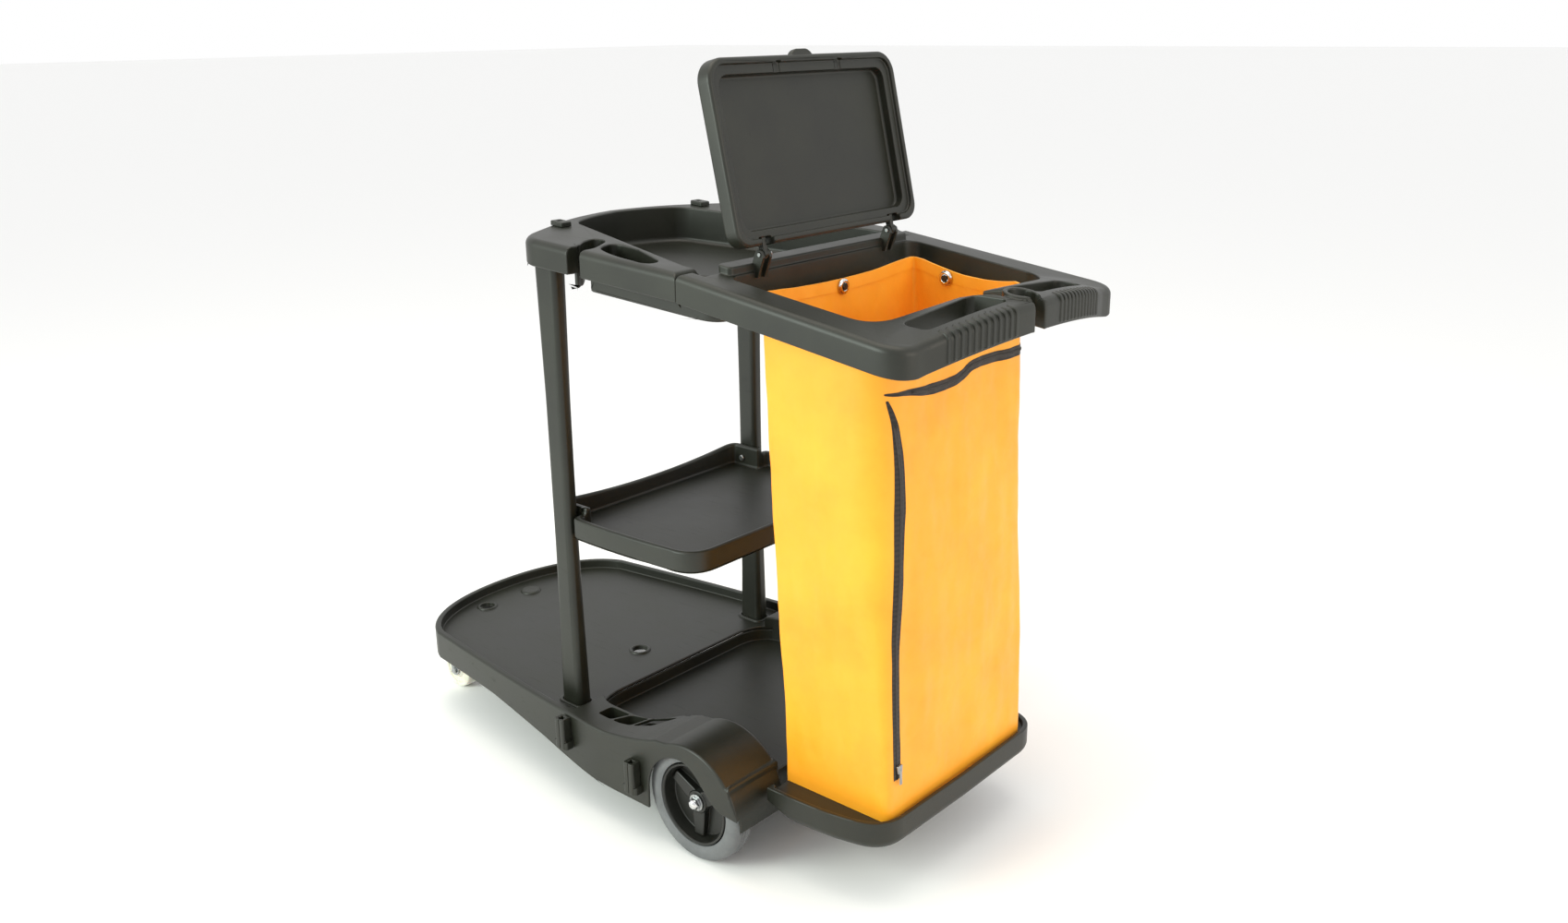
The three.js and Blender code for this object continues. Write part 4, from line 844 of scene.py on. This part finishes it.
def rear_wheel(side):
    """Drawn as the left wheel, whose outer face is at WHEEL_FACE."""
    wheel = "rear_wheel_" + side
    centre = (WHEEL_X, 0, WHEEL_Z)
    inner, outer = WHEEL_FACE - 40, WHEEL_FACE
    r = TYRE_RADIUS
    half = [(RIM_RADIUS + 0.4, 13), (RIM_RADIUS + 2, 17.5), (RIM_RADIUS + 8, 20), (r - 16, 20),
            (r - 8, 18.6), (r - 3.5, 15.6), (r - 1, 11.6), (r - 0.1, 8.4)]
    grooves = [(r - 0.1, 6.8), (r - 1.3, 6.3), (r - 1.3, 5.5), (r, 5), (r, 1.2), (r - 1.3, 0.8)]
    profile = half + grooves + [(x, -y) for x, y in reversed(half + grooves)]
    tyre = turned("Y", [(x, y + (inner + outer) / 2) for x, y in profile], centre, 128)
    finish(on_side(tyre, side), "tyre_moulding_" + side, wheel, RUBBER,
           ["rear_tyre_" + side], sharp=40)

    rim = turned("Y", [
        (RIM_RADIUS - 7, inner + 2), (RIM_RADIUS, inner + 2), (RIM_RADIUS, outer - 2),
        (RIM_RADIUS - 3, outer - 1.2), (RIM_RADIUS - 5, outer - 3), (RIM_RADIUS - 9, outer - 22),
        (RIM_RADIUS - 9, inner + 14)], centre)
    web = turned("Y", [(10, outer - 31), (RIM_RADIUS - 6, outer - 28), (RIM_RADIUS - 6, outer - 23),
                       (40, outer - 25), (10, outer - 26)], centre)
    boss = bar("Y", 19, (WHEEL_X, (inner + outer - 12) / 2, WHEEL_Z), outer - 12 - inner, 64)
    spokes = []
    for degrees in (90, 210, 330):
        spoke = side_prism(rounded((12, -14), (60, -10), (60, 10), (12, 14)), inner + 6, outer - 14, 2.5)
        turn = Matrix.Translation(centre) @ Matrix.Rotation(math.radians(degrees), 4, "Y")
        bmesh.ops.transform(spoke, verts=spoke.verts[:], matrix=turn)
        spokes.append(spoke)
    hub = cut(join(rim, boss, web, *spokes), bar("Y", 11, (WHEEL_X, (inner + outer) / 2, WHEEL_Z), 60, 48))
    finish(redrawn(hub, lambda bm: on_side(bm, side)), "hub_moulding_" + side, wheel, HUB,
           ["rear_hub_" + side], 1.4)

    hexagon = turned("Y", [(0.02, outer - 9.2), (10.4, outer - 9.2), (10.4, outer - 3.6), (9.4, outer - 2.4),
                           (0.02, outer - 2.4)], centre, 6)
    dome = turned("Y", [(0.02, outer - 4), (8.8, outer - 4), (8.4, outer - 1.4), (6.4, outer + 1),
                        (3.2, outer + 2.2), (0.02, outer + 2.5)], centre, 48)
    nut = cut(join(hexagon, dome), bar("Y", 6.5, (WHEEL_X, outer - 12, WHEEL_Z), 16, 24))
    finish(redrawn(nut, lambda bm: on_side(bm, side)), "cap_nut_" + side, "cart", CHROME,
           ["axle_cap_nut_" + side], 0.4)


# ---- Casters ----


def caster_wheel(side):
    low, high = place("caster_wheel_" + side)
    half = [(4.4, 14), (14, 14), (15, 13), (17, 10.5), (29, 10.2), (30, 12.2), (34.5, 12.5),
            (36.6, 11), (37.5, 8)]
    wheel = turned("Y", half + [(x, -y) for x, y in reversed(half)], (low + high) / 2, 72)
    finish(wheel, "roller_" + side, "caster_roller_" + side, NYLON, ["caster_wheel_" + side])


# ---- Bag platform and tool holders ----


def platform_plan(inset):
    return whole(outline(
        (446 + inset, 0), (446 + inset, 234 - inset), ((550, 236 - inset), (600, 223 - inset)),
        ((654 - inset, 214 - inset), (656 - inset, 165)), (658 - inset, 0), fine=16))


def bag_platform():
    under_front = outline((430, 80), (430, 129), ((470, 124), (506, 100)), (506, 80))
    body = cut(
        join(cut(prism(platform_plan(0), 104, 150, 16, "bottom", 7), side_prism(under_front, -260, 260)),
             pair(block(358, 520, 84, 116, 103.6, 111.6))),
        prism(platform_plan(8), 140, 200, 3, "bottom"),
        block(436, 480, -220, 220, 140, 200),
        cut(prism(platform_plan(20), 0, 133), pair(block(358, 530, 80, 120, 90, 140))),
        pair(bar("Z", 2.5, (384, 100, 110), 40, 16)))
    finish(body, "platform_moulding", "cart", BODY, ["bag_platform"], 2)


def tool_holder(name):
    """A clipped-on block, open at the top by a star-shaped hole, with a foot that stands proud of it."""
    low, high = place(name)
    side = 1 if low.y > 0 else -1
    inner, outer = min(abs(low.y), abs(high.y)), max(abs(low.y), abs(high.y))
    middle_x, middle_y = (low.x + high.x) / 2, (inner + outer) / 2
    star = [Vector((middle_x + r * math.cos(t), middle_y + r * math.sin(t), 0))
            for r, t in [((7.6, 3.6)[i % 2], math.radians(36 * i + 90)) for i in range(10)]]
    body = cut(
        join(prism(rounded((low.x + 4, inner), (low.x + 4, outer - 2, 4), (high.x - 4, outer - 2, 4),
                           (high.x - 4, inner)), low.z, high.z, 1.2, "top"),
             prism(rounded((low.x, inner), (low.x, outer - 4, 4), (high.x, outer - 4, 4), (high.x, inner)),
                   low.z, low.z + 14)),
        prism(star, low.z - 5, high.z + 5))
    body = redrawn(body, lambda bm: bm if side > 0 else mirrored(bm))
    finish(body, name + "_block", "cart", BODY, [name], 1.3)


# ---- Bag ----

BAG_FLOOR = 140.4
BAG_RIM = 905
BAG_RIM_FALL = 0.1
BAG_BOTTOM = 442, 642
BAG_MOUTH = 403, 617
BAG_HALF = 185
BAG_DEPTH = 200
BAG_WALL = 2
BAG_FRONT_CORNER = 7
# Distances round the bag are told on a plan with 24 mm rear corners, leg by leg from its rear face's middle.
LEGS = 161, 37.7, 162, 18, 171
BAG_GIRTH = 2 * sum(LEGS)
AROUND, UP = 200, 96


def smooth_step(low, high, value):
    share = min(1, max(0, (value - low) / (high - low)))
    return share * share * (3 - 2 * share)


def rear_corner(up, near):
    """The rear corners are crisp at the floor and slacken higher up, most on the zip's side."""
    return 15 + (30 if near else 12) * smooth_step(0.1, 0.75, up)


def round_the_bag(along, up):
    """The place in plan, and the way out, a distance round the bag from the middle of its rear face."""
    along %= BAG_GIRTH
    side = 1
    if along > BAG_GIRTH / 2:
        along, side = BAG_GIRTH - along, -1
    leg = 0
    while along > LEGS[leg] and leg < 4:
        along -= LEGS[leg]
        leg += 1
    share = along / LEGS[leg]
    rear, front = rear_corner(up, side < 0), BAG_FRONT_CORNER
    turn = share * math.pi / 2 + (math.pi / 2 if leg == 3 else 0)
    out = (math.cos(turn), math.sin(turn)) if leg in (1, 3) else ((1, 0), 0, (0, 1), 0, (-1, 0))[leg]
    spot = (
        (BAG_DEPTH, share * (BAG_HALF - rear)),
        (BAG_DEPTH - rear + rear * out[0], BAG_HALF - rear + rear * out[1]),
        (BAG_DEPTH - rear - share * (BAG_DEPTH - rear - front), BAG_HALF),
        (front + front * out[0], BAG_HALF - front + front * out[1]),
        (0, (1 - share) * (BAG_HALF - front)),
    )[leg]
    return Vector((spot[0], side * spot[1], 0)), Vector((out[0], side * out[1], 0))


ZIP_ALONG = -160


def bag_spot(along, up):
    """A point of the hanging bag: full in its faces, creased, and slack between its hooks."""
    spot, out = round_the_bag(along, up)
    front = BAG_BOTTOM[0] + (BAG_MOUTH[0] - BAG_BOTTOM[0]) * up
    rear = BAG_BOTTOM[1] + (BAG_MOUTH[1] - BAG_BOTTOM[1]) * up
    x = front + (rear - front) * spot.x / BAG_DEPTH
    z = BAG_FLOOR + up * (BAG_RIM - BAG_FLOOR - BAG_RIM_FALL * (x - front))
    in_face = max(0, 1 - (spot.y / 165) ** 2) if abs(out.x) > 0.5 else max(
        0, 1 - ((spot.x - BAG_DEPTH / 2) / 80) ** 2)
    free = smooth_step(0, 0.06, up)
    held = smooth_step(6, 46, abs((along - ZIP_ALONG + BAG_GIRTH / 2) % BAG_GIRTH - BAG_GIRTH / 2))
    if along > 0 and out.x > 0.5:
        held = 1
    hang = noise.noise(Vector((spot.x * 0.011, spot.y * 0.011, z * 0.0022 + 3)))
    folds = noise.noise(Vector((spot.x * 0.034, spot.y * 0.034, z * 0.009)))
    puckers = noise.noise(Vector((spot.x * 0.07, spot.y * 0.07, z * 0.03 + 9)))
    fullness = 5 * in_face * math.sin(math.pi * min(1, up * 1.1))
    swell = free * held * (fullness + 4.5 * hang + 2.4 * folds + 0.7 * puckers)
    slack = in_face * smooth_step(0.86, 1, up)
    lift = 5 * (1 - in_face) * smooth_step(0.86, 1, up) * (1 if spot.y > 0 else 0.2)
    return Vector((x, spot.y, z + lift - 5 * slack)) + out * swell


def bag_grid():
    return [[bag_spot(BAG_GIRTH * i / AROUND, j / UP) for j in range(UP + 1)] for i in range(AROUND)]


GRID = bag_grid()


def on_bag(along, up, off=0.0):
    """A point of the bag's outside, stood off along its normal."""
    i, j = (along % BAG_GIRTH) / BAG_GIRTH * AROUND, min(UP - 1e-6, max(0, up * UP))
    i0, j0 = int(i), int(j)
    a, b = GRID[i0 % AROUND], GRID[(i0 + 1) % AROUND]
    low = a[j0].lerp(b[j0], i - i0)
    high = a[j0 + 1].lerp(b[j0 + 1], i - i0)
    spot = low.lerp(high, j - j0)
    if not off:
        return spot
    normal = (b[j0] - a[j0]).cross(high - low).normalized()
    return spot + normal * off


def bag():
    bm = bmesh.new()
    cloth = bm.loops.layers.uv.new("cloth")
    rings = [[bm.verts.new(GRID[i][j]) for i in range(AROUND)] for j in range(UP + 1)]
    for j in range(UP):
        for i in range(AROUND):
            after = (i + 1) % AROUND
            face = bm.faces.new((rings[j][i], rings[j][after], rings[j + 1][after], rings[j + 1][i]))
            corners = (i, j), (i + 1, j), (i + 1, j + 1), (i, j + 1)
            for loop, (across, above) in zip(face.loops, corners):
                loop[cloth].uv = (across * BAG_GIRTH / AROUND * MM, above * (BAG_RIM - BAG_FLOOR) / UP * MM)
    floor = bm.faces.new(list(reversed(rings[0])))
    bmesh.ops.inset_region(bm, faces=[floor], thickness=12, use_even_offset=True)
    bmesh.ops.recalc_face_normals(bm, faces=bm.faces[:])
    piece = as_object(bm)
    wall = piece.modifiers.new("thickness", "SOLIDIFY")
    wall.thickness = BAG_WALL
    wall.offset = -1
    apply_modifiers(piece)
    holes = []
    for name in EYELETS:
        spot, axis, away = eyelet_at(name)
        holes.append(bar(axis, 6.6, spot, 40, 32))
    piece = cut(piece, *holes)
    finish(piece, "hanging_bag", "cart", VINYL, ["bag"], sharp=60, clean=False)


# ---- Eyelets ----

EYELETS = "front", "rear_left", "rear_right", "left", "right"


def eyelet_at(name):
    """An eyelet's middle, the axis it lies along, and which way is out of the bag."""
    low, high = place("eyelet_" + name)
    size = high - low
    axis = "X" if size.x < size.y else "Y"
    spot = (low + high) / 2
    if axis == "X":
        away = -1 if name == "front" else 1
    else:
        away = 1 if spot.y > 0 else -1
    return spot, axis, away


def eyelet(name):
    spot, axis, away = eyelet_at(name)
    profile = [(6.2, -2.2), (7.4, -2.9), (10.4, -2.5), (12, -0.9), (12, 0.2), (7.8, 0.6), (7.8, 4.8),
               (12, 5.2), (12, 6.2), (10.4, 7.4), (7.4, 7.8), (6.2, 7)]
    ring = turned(axis, [(radius, along * away) for radius, along in profile], spot, 48)
    finish(ring, "eyelet_ring_" + name, "cart", CHROME, ["eyelet_" + name], sharp=50)


# ---- Zip: tape, coil, and the bag's edge stitching ----


def strip(path, width, low, high, across=4, closed=False):
    """A ribbon lying on the bag along a path of (millimetres round, share up).

    width gives its half width at a step, and high its height over the bag at a step and a place across."""
    tall = BAG_RIM - BAG_FLOOR
    count = len(path)
    outer, inner = [], []
    for i, (along, up) in enumerate(path):
        before = path[(i - 1) % count] if closed else path[max(0, i - 1)]
        after = path[(i + 1) % count] if closed else path[min(count - 1, i + 1)]
        run = Vector((after[0] - before[0], (after[1] - before[1]) * tall))
        if closed and abs(run.x) > BAG_GIRTH / 2:
            run.x -= math.copysign(BAG_GIRTH, run.x)
        side = Vector((-run.y, run.x)).normalized()
        outer.append([])
        inner.append([])
        for j in range(across + 1):
            t = 2 * j / across - 1
            reach = t * width(i)
            place_on = along + side.x * reach, up + side.y * reach / tall
            outer[-1].append(on_bag(*place_on, high(i, t)))
            inner[-1].append(on_bag(*place_on, low))
    bm = bmesh.new()
    cloth = bm.loops.layers.uv.new("cloth")
    skins = [[[bm.verts.new(p) for p in row] for row in skin] for skin in (outer, inner)]
    steps = range(count if closed else count - 1)

    def quad(*spots):
        face = bm.faces.new([skins[s][i % count][j] for s, i, j in spots])
        for loop, (_, i, j) in zip(face.loops, spots):
            loop[cloth].uv = (j * MM, i * MM)

    for i in steps:
        for j in range(across):
            quad((0, i, j), (0, i + 1, j), (0, i + 1, j + 1), (0, i, j + 1))
            quad((1, i, j), (1, i, j + 1), (1, i + 1, j + 1), (1, i + 1, j))
        quad((0, i, 0), (1, i, 0), (1, i + 1, 0), (0, i + 1, 0))
        quad((0, i, across), (0, i + 1, across), (1, i + 1, across), (1, i, across))
    if not closed:
        for i in (0, count - 1):
            for j in range(across):
                quad((0, i, j), (0, i, j + 1), (1, i, j + 1), (1, i, j))
    bmesh.ops.recalc_face_normals(bm, faces=bm.faces[:])
    return bm


def evenly(corners, pitch):
    """A smooth path through corners (round, height) at an even pitch, as (round, share up)."""
    spots = []
    count = len(corners)
    for i in range(count - 1):
        p = [Vector((*corners[min(count - 1, max(0, k))], 0)) for k in (i - 1, i, i + 1, i + 2)]
        handles = p[1] + (p[2] - p[0]) / 6, p[2] - (p[3] - p[1]) / 6
        steps = max(2, round((p[2] - p[1]).length / pitch))
        spots += interpolate_bezier(p[1], *handles, p[2], steps + 1)[:-1]
    spots.append(Vector((*corners[-1], 0)))
    rear_rise = BAG_RIM - BAG_FLOOR - BAG_RIM_FALL * (BAG_MOUTH[1] - BAG_MOUTH[0])
    return [(p.x, (p.y - BAG_FLOOR) / rear_rise) for p in spots]


ZIP_UPRIGHT = ((-153, 205), (-154, 262), (-158, 346), (-160, 420), (-160, 490), (-160, 561), (-161, 631),
               (-164, 700), (-168, 745), (-174, 778))
ZIP_ACROSS = ((-176, 787), (-134, 783), (-90, 778), (-33, 777), (10, 782), (38, 792), (86, 793), (130, 791),
              (176, 791))


def zip_fastener():
    upright, crosswise = evenly(ZIP_UPRIGHT, 3), evenly(ZIP_ACROSS, 3)

    def upright_width(i):
        rest = len(upright) - 1 - i
        return 0.9 + 7.3 * min(1, rest / 55) ** 0.8

    def crosswise_width(i):
        return 1.2 + 7 * min(1, i / 34) ** 0.7

    def tape(path, width):
        return join(strip(path, width, -1, lambda i, t: 0.8 - 0.3 * abs(t)))

    finish(tape(upright, upright_width), "zip_tape_upright", "cart", TAPE, ["zip_tape"],
           sharp=60, clean=False)
    finish(tape(crosswise, crosswise_width), "zip_tape_crosswise", "cart", TAPE,
           sharp=60, clean=False)
    for name, corners in (("upright", ZIP_UPRIGHT[:-1]), ("crosswise", ZIP_ACROSS[1:])):
        path = evenly(corners, 0.6)
        coil = strip(path, lambda i: 2.1, 0, lambda i, t: 1.2 + (0.9 if i % 3 == 1 else 0.1) * (1 - t * t))
        finish(coil, "zip_coil_" + name, "cart", COIL, sharp=60, clean=False)


def hem():
    """The rim is turned over and stitched down."""
    path = [(BAG_GIRTH * i / AROUND, 1 - 9 / (BAG_RIM - BAG_FLOOR)) for i in range(AROUND)]
    band = strip(path, lambda i: 9.2, -BAG_WALL - 0.9, lambda i, t: 0.9, 6, closed=True)
    piece = cut(band, *[bar(eyelet_at(name)[1], 12.4, eyelet_at(name)[0], 40, 32) for name in EYELETS])
    finish(piece, "hem_band", "cart", VINYL, sharp=60, clean=False)


# ---- Small pieces keep their own shape, with their edges rounded ----


def small_pieces():
    kinds = (
        (("rear_bush", "caster_wheel"), NYLON, 0.3),
        (("rear_washer", "rear_axle", "caster_", "shelf_screw", "frame_screw", "platform_screw",
          "lid_hinge_pin"), ZINC, 0.3),
        (("axle_spacer", "deck_plug", "bag_hook"), BODY, 0.5),
        (("zip_slider",), ZINC, 0.4),
    )
    for name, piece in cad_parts.items():
        for prefixes, material, edge in kinds:
            if name.startswith(prefixes):
                piece.data.materials.clear()
                piece.data.materials.append(material)
                for polygon in piece.data.polygons:
                    polygon.use_smooth = True
                    polygon.material_index = 0
                weld = piece.modifiers.new("weld", "WELD")
                weld.merge_threshold = 1e-5
                flat = piece.modifiers.new("flat faces", "DECIMATE")
                flat.decimate_type = "DISSOLVE"
                flat.angle_limit = math.radians(1)
                soften(piece, edge * MM)
                even_shading(piece)
                break


base_platform()
middle_shelf()
top_tray()
bag_frame()
lid()
bag_platform()
bag()
hem()
zip_fastener()
for eyelet_name in EYELETS:
    eyelet(eyelet_name)
for side_name in ("left", "right"):
    post(side_name)
    rear_wheel(side_name)
    caster_wheel(side_name)
    tool_holder("tool_holder_front_" + side_name)
    tool_holder("tool_holder_rear_" + side_name)
small_pieces()

# ---- Floor, light and camera ----


def floor():
    bm = bmesh.new()
    bmesh.ops.create_grid(bm, x_segments=1, y_segments=1, size=60)
    piece = as_object(bm)
    piece.name = "studio_floor"
    material = bpy.data.materials.new("white studio floor")
    material.use_nodes = True
    shader = material.node_tree.nodes["Principled BSDF"]
    shader.inputs["Base Color"].default_value = linear("#f6f6f5")
    shader.inputs["Roughness"].default_value = 0.9
    piece.data.materials.append(material)


def area_light(name, spot, target, size, power, colour="#ffffff"):
    light = bpy.data.lights.new(name, "AREA")
    light.shape = "RECTANGLE"
    light.size, light.size_y = size
    light.energy = power
    light.color = linear(colour)[:3]
    lamp = bpy.data.objects.new(name, light)
    lamp.location = spot
    lamp.rotation_euler = (Vector(target) - Vector(spot)).to_track_quat("-Z", "Y").to_euler()
    bpy.context.scene.collection.objects.link(lamp)


def studio():
    scene = bpy.context.scene
    world = bpy.data.worlds.new("studio")
    world.use_nodes = True
    world.node_tree.nodes["Background"].inputs["Color"].default_value = (1, 1, 1, 1)
    world.node_tree.nodes["Background"].inputs["Strength"].default_value = 1.0
    scene.world = world
    scene.view_settings.view_transform = "Standard"
    area_light("key", (-1.0, -3.0, 1.7), (0.05, 0, 0.55), (1.6, 1.6), 80, "#f2fff4")
    area_light("overhead", (0.1, -0.2, 3.2), (0, 0, 0.5), (2.6, 2.0), 34, "#fff6e6")
    area_light("rear fill", (3.2, 0.4, 1.4), (0.1, 0, 0.6), (1.6, 1.6), 22, "#fff4e4")


def camera():
    yaw, pitch, roll = (math.radians(a) for a in (41.16, 17.86, -0.668))
    forward = Vector((-math.sin(yaw) * math.cos(pitch), math.cos(yaw) * math.cos(pitch), -math.sin(pitch)))
    right = Vector((math.cos(yaw), math.sin(yaw), 0))
    up = right.cross(forward)
    right, up = (math.cos(roll) * right + math.sin(roll) * up,
                 -math.sin(roll) * right + math.cos(roll) * up)
    data = bpy.data.cameras.new("view")
    data.lens = 31.33
    data.sensor_width = 36
    viewer = bpy.data.objects.new("view", data)
    turn = Matrix((right, up, -forward)).transposed().to_4x4()
    viewer.matrix_world = Matrix.Translation((1.564, -1.601, 1.2706)) @ turn
    bpy.context.scene.collection.objects.link(viewer)
    bpy.context.scene.camera = viewer


floor()
studio()
camera()
